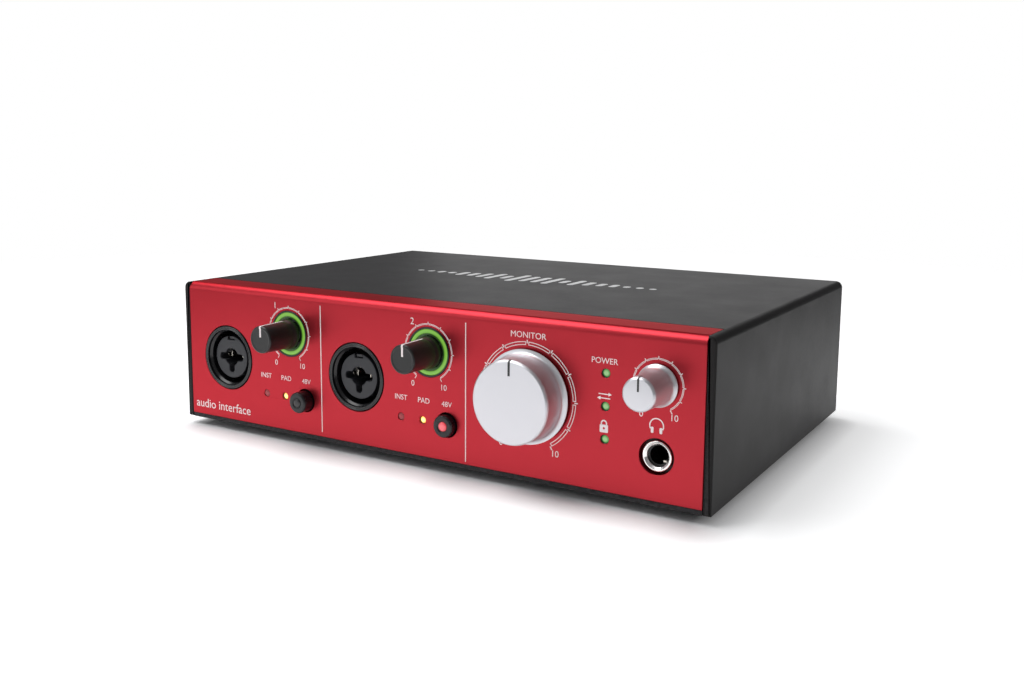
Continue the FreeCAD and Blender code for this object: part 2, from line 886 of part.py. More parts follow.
def gain_control(channel):
    """Gain knob on its shaft, inside a ring of light held by a black bezel."""
    place = (channel_place("gain_across", channel), "front_face", case_height("gain_height"))
    bezel = [
        ("bushing_radius + 2 * fit_gap", "-panel_thick - bezel_floor"),
        ("bezel_outer + bezel_flange", "-panel_thick - bezel_floor"),
        ("bezel_outer + bezel_flange", "-panel_thick - face_gap"),
        ("bezel_outer", "-panel_thick - face_gap"),
        ("bezel_outer", "bezel_proud"),
        ("halo_outer + face_gap", "bezel_proud"),
        ("halo_outer + face_gap", "-panel_thick - halo_seat - face_gap"),
        ("bushing_radius + 2 * fit_gap", "-panel_thick - halo_seat - face_gap"),
    ]
    keep(turned(f"halo_bezel_{channel}", bezel, *place), f"halo_bezel_{channel}")
    ring = rectangle(("halo_inner", "halo_outer"), ("-panel_thick - halo_seat", "-fit_gap"))
    rings = [("halo_round", "halo_outer", "-fit_gap")]
    keep(turned(f"halo_ring_{channel}", ring, *place, rings=rings), f"halo_ring_{channel}")
    knob = [
        ("shaft_radius + snug_gap", "gain_gap"),
        ("gain_skirt", "gain_gap"),
        ("gain_skirt", "gain_rim"),
        ("gain_foot", "gain_waist"),
        ("gain_cap", "gain_reach"),
        ("0", "gain_reach"),
        ("0", "gain_reach - knob_wall"),
        ("shaft_radius + snug_gap", "gain_reach - knob_wall"),
    ]
    rings = [("gain_round", "gain_cap", "gain_reach")]
    keep(turned(f"gain_knob_{channel}", knob, *place, rings=rings), f"gain_knob_{channel}")
    shaft_and_pot(
        f"gain_shaft_{channel}",
        f"gain_pot_{channel}",
        place,
        "gain_reach - knob_wall - shaft_stop",
        "small_pot",
    )


def shaft_and_pot(shaft_name, pot_name, place, reach, width):
    """A control shaft, and the potentiometer whose bushing and bore it turns in."""
    shaft = [("0", "-shaft_depth"), ("shaft_radius", "-shaft_depth"), ("shaft_radius", reach), ("0", reach)]
    keep(turned(shaft_name, shaft, *place), shaft_name)
    across, face, up = place
    body = block(
        pot_name + "_case",
        centred(across, width),
        (f"{face} + pot_front", f"{face} + board_front - face_gap"),
        centred(up, width),
    )
    bushing = rod(
        pot_name + "_bushing",
        "bushing_radius",
        "pot_front",
        across,
        f"{face} + bushing_start",
        up,
        OUT_OF_REAR,
    )
    bore = rod(
        pot_name + "_bore",
        "shaft_radius + shaft_clearance",
        "shaft_depth",
        across,
        f"{face} + bushing_bore",
        up,
        OUT_OF_REAR,
    )
    keep(cut(pot_name, fuse(pot_name, [body, bushing]), [bore]), pot_name)


def phantom_switch(channel):
    """Latching push button with a lens in its face. The second channel's is stored pressed in."""
    across = channel_place("phantom_across", channel)
    up = case_height("phantom_height")
    place = (across, f"front_face + {channel - 1} * phantom_travel", up)
    cap = [
        ("0", "-stem_back"),
        ("phantom_stem", "-stem_back"),
        ("phantom_stem", "-cap_back"),
        ("phantom_cap", "-cap_back"),
        ("phantom_cap", "phantom_reach"),
        ("phantom_lens + face_gap", "phantom_reach"),
        ("phantom_lens + face_gap", "phantom_reach - lens_seat"),
        ("0", "phantom_reach - lens_seat"),
    ]
    rings = [("phantom_round", "phantom_cap", "phantom_reach")]
    keep(turned(f"phantom_button_{channel}", cap, *place, rings=rings), f"phantom_button_{channel}")
    lens = [
        ("0", "phantom_reach - lens_seat + face_gap"),
        ("phantom_lens", "phantom_reach - lens_seat + face_gap"),
        ("phantom_lens", "phantom_reach + lens_proud"),
        ("0", "phantom_reach + lens_proud"),
    ]
    rings = [("lens_round", "phantom_lens", "phantom_reach + lens_proud")]
    keep(turned(f"phantom_lens_{channel}", lens, *place, rings=rings), f"phantom_lens_{channel}")
    back = ("front_face + switch_front", "front_face + board_front - face_gap")
    case = block(f"phantom_case_{channel}", centred(across, "switch_side"), back, centred(up, "switch_side"))
    well = rod(
        f"phantom_well_{channel}",
        "well_radius",
        "well_deep",
        across,
        "front_face + switch_front",
        up,
        OUT_OF_REAR,
    )
    name = f"phantom_switch_{channel}"
    keep(cut(name, case, [well]), name)


def lights():
    """Light pipes from the front board to the holes in the panel."""
    for name, start in (("instrument_lights", "instrument_across"), ("mode_lights", "mode_across")):
        pipes = []
        for channel in CHANNELS:
            across = channel_place(start, channel)
            pipes.append(light_pipe(f"{name}_{channel}", "lamp_radius", across, "lamp_height"))
        group(name, pipes)
    pipes = []
    for number in STATUS_LIGHTS:
        height = f"status_height + {number} * status_pitch"
        pipes.append(light_pipe(f"status_light_{number}", "status_radius", "status_across", height))
    group("status_lights", pipes)


def light_pipe(name, radius, across, height):
    """A clear rod with a rounded end, a little inside the panel's face."""
    back = "-board_front + face_gap"
    profile = [("0", back), (radius, back), (radius, "-lamp_recess"), ("0", "-lamp_recess")]
    rings = [(f"{radius} / 2", radius, "-lamp_recess")]
    return turned(name, profile, across, "front_face", case_height(height), rings=rings)


# ---------------------------------------------------------------- monitor and headphone side


def monitor_control():
    """Large machined knob with a flared foot, on its shaft."""
    place = ("monitor_across", "front_face", case_height("monitor_height"))
    knob = [
        ("shaft_radius + snug_gap", "monitor_gap"),
        ("monitor_hub", "monitor_gap"),
        ("monitor_hub", "hollow_deep"),
        ("monitor_hollow", "hollow_deep"),
        ("monitor_hollow", "monitor_gap"),
        ("monitor_skirt", "monitor_gap"),
        ("monitor_skirt", "monitor_gap + monitor_rim", "monitor_flare"),
        ("monitor_foot", "monitor_gap + monitor_waist"),
        ("monitor_cap", "monitor_reach"),
        ("0", "monitor_reach"),
        ("0", "monitor_reach - monitor_wall"),
        ("shaft_radius + snug_gap", "monitor_reach - monitor_wall"),
    ]
    rings = [("silver_round", "monitor_cap", "monitor_reach")]
    keep(turned("monitor_knob", knob, *place, rings=rings), "monitor_knob")
    shaft_and_pot(
        "monitor_shaft",
        "monitor_pot",
        place,
        "monitor_reach - monitor_wall - shaft_stop",
        "large_pot",
    )


def headphone_control():
    """Slim machined knob with a flared foot, on its shaft."""
    place = ("phones_across", "front_face", case_height("phones_knob_height"))
    knob = [
        ("shaft_radius + snug_gap", "phones_gap"),
        ("phones_skirt", "phones_gap"),
        ("phones_skirt", "phones_rim", "phones_flare"),
        ("phones_foot", "phones_waist"),
        ("phones_cap", "gain_reach"),
        ("0", "gain_reach"),
        ("0", "gain_reach - knob_wall"),
        ("shaft_radius + snug_gap", "gain_reach - knob_wall"),
    ]
    rings = [("silver_round", "phones_cap", "gain_reach")]
    keep(turned("headphone_knob", knob, *place, rings=rings), "headphone_knob")
    shaft_and_pot(
        "headphone_shaft",
        "headphone_pot",
        place,
        "gain_reach - knob_wall - shaft_stop",
        "small_pot",
    )


def headphone_socket():
    """Headphone socket: chromed ferrule, moulded body and contact springs."""
    across, up = "phones_across", case_height("phones_jack_height")
    wall_end = "-ferrule_recess - plug_wall"
    ferrule = [
        ("plug_bore", wall_end),
        ("ferrule_radius", wall_end),
        ("ferrule_radius", "-panel_thick - ferrule_back"),
        ("phones_hole + ferrule_flange", "-panel_thick - ferrule_back"),
        ("phones_hole + ferrule_flange", "-panel_thick - face_gap"),
        ("ferrule_radius", "-panel_thick - face_gap"),
        ("ferrule_radius", "-ferrule_recess"),
        ("plug_bore", "-ferrule_recess"),
    ]
    rings = [
        ("ferrule_round", "ferrule_radius", "-ferrule_recess"),
        ("moulded_round", "plug_bore", "-ferrule_recess"),
    ]
    keep(turned("headphone_ferrule", ferrule, across, "front_face", up, rings=rings), "headphone_ferrule")
    start = "front_face + ferrule_recess + plug_wall + face_gap"
    box = block(
        "headphone_case",
        centred(across, "jack_side"),
        (start, f"{start} + jack_long"),
        centred(up, "jack_side"),
    )
    chamber = rod("headphone_chamber", "spring_chamber", "chamber_long", across, start, up, OUT_OF_REAR)
    keep(cut("headphone_jack", box, [chamber]), "headphone_jack")
    springs = []
    for number, near in enumerate(
        (("jack_spring_near", "jack_spring_far"), ("-jack_spring_far", "-jack_spring_near"))
    ):
        sides = (f"{across} + ({near[0]})", f"{across} + ({near[1]})")
        back = (f"{start} + jack_spring_start", f"{start} + jack_spring_end")
        springs.append(block(f"headphone_spring_{number}", sides, back, centred(up, "jack_spring_tall")))
    back = (f"{start} + jack_spring_start", f"{start} + tip_spring_end")
    springs.append(
        block(
            "headphone_tip_spring",
            centred(across, "jack_spring_tall"),
            back,
            (f"{up} - jack_spring_far", f"{up} - jack_spring_near"),
        ),
    )
    group("headphone_contacts", springs)


# ---------------------------------------------------------------- boards


def boards():
    """Upright front board, flat main board, and what fastens and joins them."""
    back = ("front_face + board_front", "front_face + board_front + board_thick")
    upright = block(
        "front_board_sheet",
        ("-front_board_half", "front_board_half"),
        back,
        (case_height("front_board_low"), case_height("front_board_high")),
    )
    windows = []
    past = ("front_face + board_front - cut_past", "front_face + board_front + board_thick + cut_past")
    for channel in CHANNELS:
        across = centred(channel_place("combo_across", channel), "2 * combo_rim + window_room")
        up = centred(case_height("combo_height"), "2 * combo_rim + window_room")
        windows.append(block(f"front_board_window_{channel}", across, past, up))
    up = centred(case_height("phones_jack_height"), "jack_window")
    windows.append(block("front_board_jack_window", centred("phones_across", "jack_window"), past, up))
    keep(cut("front_board", upright, windows), "front_board")

    body = new_body("main_board_body")
    outline = new_sketch(body, "XY_Plane", "main_board_outline")
    depth = ("front_face + board_front + board_start", f"{REAR_FACE} - board_end")
    draw_outline(outline, rectangle(("-main_board_half", "main_board_half"), depth))
    for side in SIDES:
        for back in STANDOFF_BACKS:
            draw_circle(outline, "screw_hole", f"{side} * {STANDOFF_SIDE}", back)
    sheet_pad = body.newObject("PartDesign::Pad", "main_board_sheet")
    sheet_pad.Profile = outline
    tie(sheet_pad, Length="board_thick")
    document.recompute()
    put(body, "0", "0", case_height("main_board_height"))
    keep(body, "main_board")

    posts = []
    screws = []
    tall = "main_board_height - base_thick"
    tube = rectangle(("screw_radius + snug_gap", "post_radius"), ("0", tall))
    for side in SIDES:
        for number, back in enumerate(STANDOFF_BACKS):
            across = f"{side} * {STANDOFF_SIDE}"
            name = f"standoff_{side + 1}_{number}"
            posts.append(turned(name, tube, across, back, case_height("base_thick"), UPRIGHT))
            screws.append(screw(f"board_screw_{side + 1}_{number}", across, back, BOARD_TOP, UPRIGHT))
    group("board_standoffs", posts)
    group("board_screws", screws)

    link_back = "front_face + board_front + board_thick"
    foot = block(
        "header_foot",
        ("header_left", "header_right"),
        (f"{link_back} + header_start", f"{link_back} + header_deep"),
        (BOARD_TOP, f"{BOARD_TOP} + header_foot"),
    )
    stem = block(
        "header_stem",
        ("header_left", "header_right"),
        (link_back, f"{link_back} + header_stem"),
        (BOARD_TOP, f"{BOARD_TOP} + header_tall"),
    )
    keep(fuse("board_header", [foot, stem]), "board_header")


def components():
    """The larger parts that stand on the main board."""
    chips = []
    for number, (across, back, side) in enumerate(CHIPS):
        middle = (centred(str(across), str(side)), centred(str(back), str(side)))
        chips.append(block(f"chip_{number}", *middle, (BOARD_TOP, f"{BOARD_TOP} + chip_thick")))
    group("signal_chips", chips)
    cans = []
    for number in range(CAN_COUNT):
        across = f"can_start + {number} * can_pitch"
        cans.append(rod(f"can_{number}", "can_radius", "can_tall", across, "can_back", BOARD_TOP))
    group("filter_capacitors", cans)


# ---------------------------------------------------------------- rear panel


def rear_panel():
    """Black rear plate, cut for the connectors, the power switch and a security slot."""
    body = new_body("rear_panel_body")
    outline = new_sketch(body, "XZ_Plane", "rear_panel_outline")
    top = f"{CASE_TOP} - top_wall - fit_gap"
    draw_outline(outline, rectangle((f"-{PANEL_HALF}", PANEL_HALF), ("foot_height", top)))
    row_up = case_height("rear_row_height")
    for number in OUTPUTS:
        draw_circle(
            outline,
            "output_bushing + output_room",
            f"output_across + {number} * output_pitch",
            row_up,
        )
    for number in MIDI_SOCKETS:
        draw_circle(outline, "midi_window", f"midi_across + {number} * midi_pitch", row_up)
    draw_circle(outline, "dc_window", "dc_across", row_up)
    for across, wide, up, tall in (
        ("optical_across", "optical_window_wide", row_up, "optical_window_tall"),
        ("usb_across", "usb_window_wide", row_up, "usb_window_tall"),
        ("power_across", "power_window_wide", row_up, "power_window_tall"),
        ("lock_across", "lock_wide", case_height("lock_height"), "lock_tall"),
    ):
        draw_outline(outline, rectangle(centred(across, wide), centred(up, tall)))
    for side in SIDES:
        for height in REAR_SCREW_HEIGHTS:
            across = f"{side} * {BOSS_MIDDLE}"
            draw_circle(outline, "screw_hole", across, case_height(height))
    plate = body.newObject("PartDesign::Pad", "rear_panel_sheet")
    plate.Profile = outline
    tie(plate, Length="rear_thick")
    document.recompute()
    put(body, "0", REAR_FACE, "0")
    return keep(body, "rear_panel")


def line_outputs():
    """Four jack sockets on the main board, each clamped to the rear panel by its nut."""
    jacks = []
    nuts = []
    for number in OUTPUTS:
        across = f"output_across + {number} * output_pitch"
        name = f"output_{number}"
        up = (BOARD_TOP, f"{ROW_UP} + output_over")
        case = block(
            name + "_case",
            centred(across, "output_side"),
            (f"{INSIDE_REAR} - output_deep", INSIDE_REAR),
            up,
        )
        sleeve = rod(
            name + "_sleeve",
            "output_bushing",
            "rear_reach + rear_thick + cut_past",
            across,
            f"{INSIDE_REAR} - cut_past + face_gap",
            ROW_UP,
            OUT_OF_REAR,
        )
        mouth = f"{REAR_FACE} + rear_reach"
        bore = rod(name + "_bore", "plug_bore", "output_bore", across, mouth, ROW_UP, OUT_OF_FRONT)
        chamber = rod(
            name + "_chamber",
            "spring_chamber",
            "output_chamber",
            across,
            f"{mouth} - chamber_start",
            ROW_UP,
            OUT_OF_FRONT,
        )
        jacks.append(cut(name, fuse(name, [case, sleeve]), [bore, chamber]))
        prism = document.addObject("Part::Prism", name + "_hexagon")
        prism.Polygon = 6
        tie(prism, Circumradius="output_bushing + nut_over", Height="nut_thick")
        put(prism, across, REAR_FACE, ROW_UP, OUT_OF_REAR)
        thread = rod(
            name + "_thread",
            "output_bushing + face_gap",
            "nut_thick + cut_past",
            across,
            f"{REAR_FACE} - cut_past / 2",
            ROW_UP,
            OUT_OF_REAR,
        )
        nuts.append(cut(name + "_nut", prism, [thread]))
    group("line_output_jacks", jacks)
    group("line_output_nuts", nuts)


def midi_sockets():
    """Two round five-way sockets in square bodies."""
    sockets = []
    for number in MIDI_SOCKETS:
        across = f"midi_across + {number} * midi_pitch"
        name = f"midi_{number}"
        case = block(
            name + "_case",
            centred(across, "midi_side"),
            (f"{INSIDE_REAR} - midi_deep", INSIDE_REAR),
            (BOARD_TOP, f"{ROW_UP} + midi_over"),
        )
        nose_back = f"{REAR_FACE} + midi_proud - midi_nose_long"
        nose = rod(name + "_nose", "midi_nose", "midi_nose_long", across, nose_back, ROW_UP, OUT_OF_REAR)
        face = f"{REAR_FACE} + cut_past"
        groove_long = "groove_deep + cut_past"
        groove = rod(name + "_groove", "midi_groove", groove_long, across, face, ROW_UP, OUT_OF_FRONT)
        top = f"{REAR_FACE} - island_step"
        island = rod(name + "_island", "midi_island", "groove_deep", across, top, ROW_UP, OUT_OF_FRONT)
        tools = [cut(name + "_channel", groove, [island])]
        for step in range(5):
            turn = math.radians(180 + 45 * step)
            spot = f"{across} + midi_pin_circle * ({math.cos(turn):.5f})"
            up = f"{ROW_UP} - midi_pin_circle * ({math.sin(turn):.5f})"
            hole = ("midi_pin_hole", "midi_pin_deep + cut_past", spot, face, up, OUT_OF_FRONT)
            tools.append(rod(f"{name}_pin_{step}", *hole))
        sockets.append(cut(name, fuse(name, [case, nose]), tools))
    group("midi_sockets", sockets)


def optical_input():
    """Optical input with a flap that a plug pushes inwards and up."""
    half_wide = centred("optical_across", "port_width")
    ceiling = f"({ROW_UP} + port_tall / 2)"
    case = block(
        "optical_case",
        centred("optical_across", "optical_side"),
        (f"{INSIDE_REAR} - optical_deep", INSIDE_REAR),
        (BOARD_TOP, f"{ROW_UP} + optical_over"),
    )
    nose = block(
        "optical_nose",
        centred("optical_across", "optical_window_wide - 2 * optical_room"),
        (f"{INSIDE_REAR} - cut_past", f"{REAR_FACE} + optical_proud"),
        centred(ROW_UP, "optical_window_tall - 2 * optical_room"),
    )
    port = block(
        "optical_port",
        half_wide,
        (f"{REAR_FACE} - port_depth", f"{REAR_FACE} + cut_past"),
        centred(ROW_UP, "port_tall"),
    )
    pivot_back = f"{REAR_FACE} - flap_setback"
    pivot_up = f"{ceiling} - flap_drop"
    along_x = Rotation(Vector(0, 1, 0), 90)
    pin_hole = rod(
        "optical_pin_hole",
        "flap_pin + shaft_clearance",
        "port_width + 2 * (pin_reach + pin_end_gap)",
        "optical_across - port_width / 2 - pin_reach - pin_end_gap",
        pivot_back,
        pivot_up,
        along_x,
    )
    keep(cut("optical_input", fuse("optical_input", [case, nose]), [port, pin_hole]), "optical_input")
    leaf = block(
        "shutter_leaf",
        centred("optical_across", "port_width - 2 * flap_room"),
        centred(pivot_back, "flap_thick"),
        (f"{pivot_up} - flap_long", f"{pivot_up} + flap_thick / 2"),
    )
    pin = rod(
        "shutter_pin",
        "flap_pin",
        "port_width + 2 * pin_reach",
        "optical_across - port_width / 2 - pin_reach",
        pivot_back,
        pivot_up,
        along_x,
    )
    keep(fuse("optical_shutter", [leaf, pin]), "optical_shutter")


def stadium(name, across, back, up, wide, tall, length):
    """A bar with a round-ended cross-section, that runs back to front from the given face."""
    flat = block(
        name + "_flat",
        centred(across, f"({wide}) - ({tall})"),
        (f"{back} - {length}", back),
        centred(up, tall),
    )
    ends = []
    for side in SIDES:
        middle = f"{across} + {side} * (({wide}) - ({tall})) / 2"
        ends.append(rod(f"{name}_end_{side + 1}", f"({tall}) / 2", length, middle, back, up, OUT_OF_FRONT))
    return fuse(name, [flat] + ends)


def usb_socket():
    """Pressed steel shell with a tongue inside it."""
    face = f"{REAR_FACE} + usb_sheet"
    shell = stadium("usb_shell", "usb_across", face, ROW_UP, "usb_wide", "usb_tall", "usb_long")
    inside = ("usb_wide - 2 * usb_sheet", "usb_tall - 2 * usb_sheet", "usb_hollow")
    hollow = stadium("usb_hollow", "usb_across", face, ROW_UP, *inside)
    tongue = block(
        "usb_tongue",
        centred("usb_across", "tongue_wide"),
        (f"{face} - tongue_end", f"{face} - tongue_start"),
        centred(ROW_UP, "tongue_thick"),
    )
    foot = block(
        "usb_foot",
        centred("usb_across", "usb_wide"),
        (f"{INSIDE_REAR} - usb_foot_end", f"{INSIDE_REAR} - usb_foot_gap"),
        (BOARD_TOP, f"{ROW_UP} - usb_foot_under"),
    )
    keep(fuse("usb_socket", [cut("usb_socket", shell, [hollow]), tongue, foot]), "usb_socket")


def dc_inlet():
    """Barrel power inlet with a centre pin."""
    nose_back = f"{REAR_FACE} + dc_proud - dc_nose_long"
    nose = rod("dc_nose", "dc_nose", "dc_nose_long", "dc_across", nose_back, ROW_UP, OUT_OF_REAR)
    case = block(
        "dc_case",
        centred("dc_across", "dc_side"),
        (f"{INSIDE_REAR} - dc_deep", INSIDE_REAR),
        (BOARD_TOP, f"{ROW_UP} + dc_over"),
    )
    face = f"{REAR_FACE} + cut_past"
    well = rod("dc_well", "dc_well", "dc_well_deep + cut_past", "dc_across", face, ROW_UP, OUT_OF_FRONT)
    tip = f"{REAR_FACE} - dc_pin_start"
    pin = rod("dc_pin", "dc_pin", "dc_pin_long", "dc_across", tip, ROW_UP, OUT_OF_FRONT)
    hollow = cut("dc_inlet", fuse("dc_inlet", [nose, case]), [well])
    keep(fuse("dc_inlet_pinned", [hollow, pin]), "dc_inlet")


def power_switch():
    """Rocker switch: a frame clipped in the rear panel and the rocker on its pins."""
    bezel = block(
        "power_bezel",
        centred("power_across", "power_bezel_wide"),
        (REAR_FACE, f"{REAR_FACE} + power_bezel_thick"),
        centred(ROW_UP, "power_bezel_tall"),
    )
    case = block(
        "power_case",
        centred("power_across", "power_case_wide"),
        (f"{REAR_FACE} - power_case_deep", REAR_FACE),
        centred(ROW_UP, "power_case_tall"),
    )
    well = block(
        "power_well",
        centred("power_across", "power_well_wide"),
        (f"{REAR_FACE} - power_well_deep", f"{REAR_FACE} + 2 * cut_past"),
        centred(ROW_UP, "power_well_tall"),
    )
    pivot_back = f"{REAR_FACE} - rocker_pivot"
    along_x = Rotation(Vector(0, 1, 0), 90)
    start = "power_across - rocker_hole_long / 2"
    bore = ("rocker_hole", "rocker_hole_long", start, pivot_back, ROW_UP, along_x)
    pin_hole = rod("power_pin_hole", *bore)
    keep(cut("power_frame", fuse("power_frame", [bezel, case]), [well, pin_hole]), "power_frame")

    body = new_body("power_rocker_body")
    section = new_sketch(body, "YZ_Plane", "power_rocker_section")
    points = [
        ("rocker_high", "rocker_end"),
        ("rocker_low", "0"),
        ("rocker_high", "-rocker_end"),
        ("-rocker_shoulder_deep", "-rocker_shoulder"),
        ("-rocker_heel_deep", "-rocker_heel"),
        ("-rocker_heel_deep", "rocker_heel"),
        ("-rocker_shoulder_deep", "rocker_shoulder"),
    ]
    draw_outline(section, points)
    wedge = body.newObject("PartDesign::Pad", "power_rocker_wedge")
    wedge.Profile = section
    wedge.SideType = "Symmetric"
    tie(wedge, Length="rocker_wide")
    pins = new_sketch(body, "YZ_Plane", "power_rocker_pin_outline")
    draw_circle(pins, "rocker_pin", "0", "0")
    pin_pad = body.newObject("PartDesign::Pad", "power_rocker_pins")
    pin_pad.Profile = pins
    pin_pad.SideType = "Symmetric"
    tie(pin_pad, Length="rocker_pin_long")
    document.recompute()
    put(body, "power_across", pivot_back, ROW_UP, Rotation(Vector(1, 0, 0), SIZES["rocker_tilt"]))
    body.setExpression("Placement.Rotation.Angle", bound("rocker_tilt * 1"))
    return keep(body, "power_rocker")


# ---------------------------------------------------------------- build and write


def build():
    """Make every sub-part."""
    front_panel()
    top_cover()
    base_plate()
    rubber_feet()
    case_screws()
    for channel in CHANNELS:
        combo_socket(channel)
        gain_control(channel)
        phantom_switch(channel)
    lights()
    monitor_control()
    headphone_control()
    headphone_socket()
    boards()
    components()
    rear_panel()
    line_outputs()
    midi_sockets()
    optical_input()
    usb_socket()
    dc_inlet()
    power_switch()
    document.recompute()


def check():
    """Stop if any object failed or any sub-part isn't a valid shape."""
    for thing in document.Objects:
        if "Invalid" in thing.State or "Error" in thing.State:
            raise RuntimeError(f"{thing.Name} failed: {thing.State}")
    for part in kept:
        if part.Shape.isNull() or not part.Shape.isValid():
            raise RuntimeError(f"{part.Label} has no valid shape")


def write():
    """Write one STEP file for each sub-part."""
    os.makedirs("parts", exist_ok=True)
    for part in kept:
        part.Shape.exportStep(f"parts/{part.Label}.step")
        solids = len(part.Shape.Solids)
        print(f"{part.Label}: {solids} solid(s), {part.Shape.Volume:.1f} mm3")
    print(f"{len(kept)} sub-parts")


build()
check()
write()
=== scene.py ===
"""Looks of a two-channel desktop audio interface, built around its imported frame.

Shapes are worked out in millimetres and turned into metres when a piece is installed. Pieces on the front
panel are drawn in a frame of their own: X to the right, Y up and Z out of the panel, from the panel's face.
Pieces on the rear panel are drawn the same way, as seen from behind.
"""
import logging
import math
from dataclasses import dataclass
from enum import Enum
from typing import Any, Iterable, Mapping, Sequence, Union

import bmesh
import bpy
from mathutils import Matrix, Vector
from mathutils.geometry import delaunay_2d_cdt


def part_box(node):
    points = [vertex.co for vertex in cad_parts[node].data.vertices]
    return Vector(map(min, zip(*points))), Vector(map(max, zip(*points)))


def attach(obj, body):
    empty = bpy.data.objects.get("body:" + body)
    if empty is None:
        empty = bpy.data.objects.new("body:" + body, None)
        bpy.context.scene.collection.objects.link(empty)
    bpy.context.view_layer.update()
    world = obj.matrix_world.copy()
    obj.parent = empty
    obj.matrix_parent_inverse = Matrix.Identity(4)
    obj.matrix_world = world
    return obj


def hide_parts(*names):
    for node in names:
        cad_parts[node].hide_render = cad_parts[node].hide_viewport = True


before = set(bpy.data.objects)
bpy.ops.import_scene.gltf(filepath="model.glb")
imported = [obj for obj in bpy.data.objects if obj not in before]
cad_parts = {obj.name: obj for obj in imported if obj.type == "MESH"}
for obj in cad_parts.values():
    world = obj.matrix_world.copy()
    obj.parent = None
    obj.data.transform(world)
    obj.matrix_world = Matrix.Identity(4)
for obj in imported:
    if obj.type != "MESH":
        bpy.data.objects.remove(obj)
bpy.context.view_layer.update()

MM = 0.001
TINY = 1e-6
CHASSIS = "chassis"
CHANNELS = (1, 2)
SMOOTH_BELOW = math.radians(38)
MERGE_BELOW = 0.0005
Colour = tuple[float, float, float]
Corner = Sequence[float]
Loop = list[tuple[float, float]]

logging.basicConfig(level=logging.INFO, format="%(levelname)s %(message)s")
log = logging.getLogger("interface")


# ---------------------------------------------------------------- shader tools


class Wire:
    """One output of a shader node. Arithmetic on it adds Math nodes."""

    def __init__(self, paint: "Paint", socket: bpy.types.NodeSocket) -> None:
        """Keep the socket and the paint whose nodes it belongs to."""
        self.paint = paint
        self.socket = socket

    def math(self, operation: str, *others: "Value", first: "Value" = None) -> "Wire":
        """Add a Math node.

        Args:
            operation: the node's operation.
            others: what comes after this wire.
            first: what comes before this wire, where the order is turned round.

        Returns:
            The node's result.
        """
        values = [self, *others] if first is None else [first, self]
        return self.paint.node("ShaderNodeMath", {"operation": operation}, dict(enumerate(values)))

    def __add__(self, other: "Value") -> "Wire":
        """Sum."""
        return self.math("ADD", other)

    def __radd__(self, other: "Value") -> "Wire":
        """Sum, turned round."""
        return self.math("ADD", other)

    def __sub__(self, other: "Value") -> "Wire":
        """Difference."""
        return self.math("SUBTRACT", other)

    def __rsub__(self, other: "Value") -> "Wire":
        """Difference, turned round."""
        return self.math("SUBTRACT", first=other)

    def __mul__(self, other: "Value") -> "Wire":
        """Product."""
        return self.math("MULTIPLY", other)

    def __rmul__(self, other: "Value") -> "Wire":
        """Product, turned round."""
        return self.math("MULTIPLY", other)

    def __truediv__(self, other: "Value") -> "Wire":
        """Quotient."""
        return self.math("DIVIDE", other)


Value = Union[Wire, float, None]


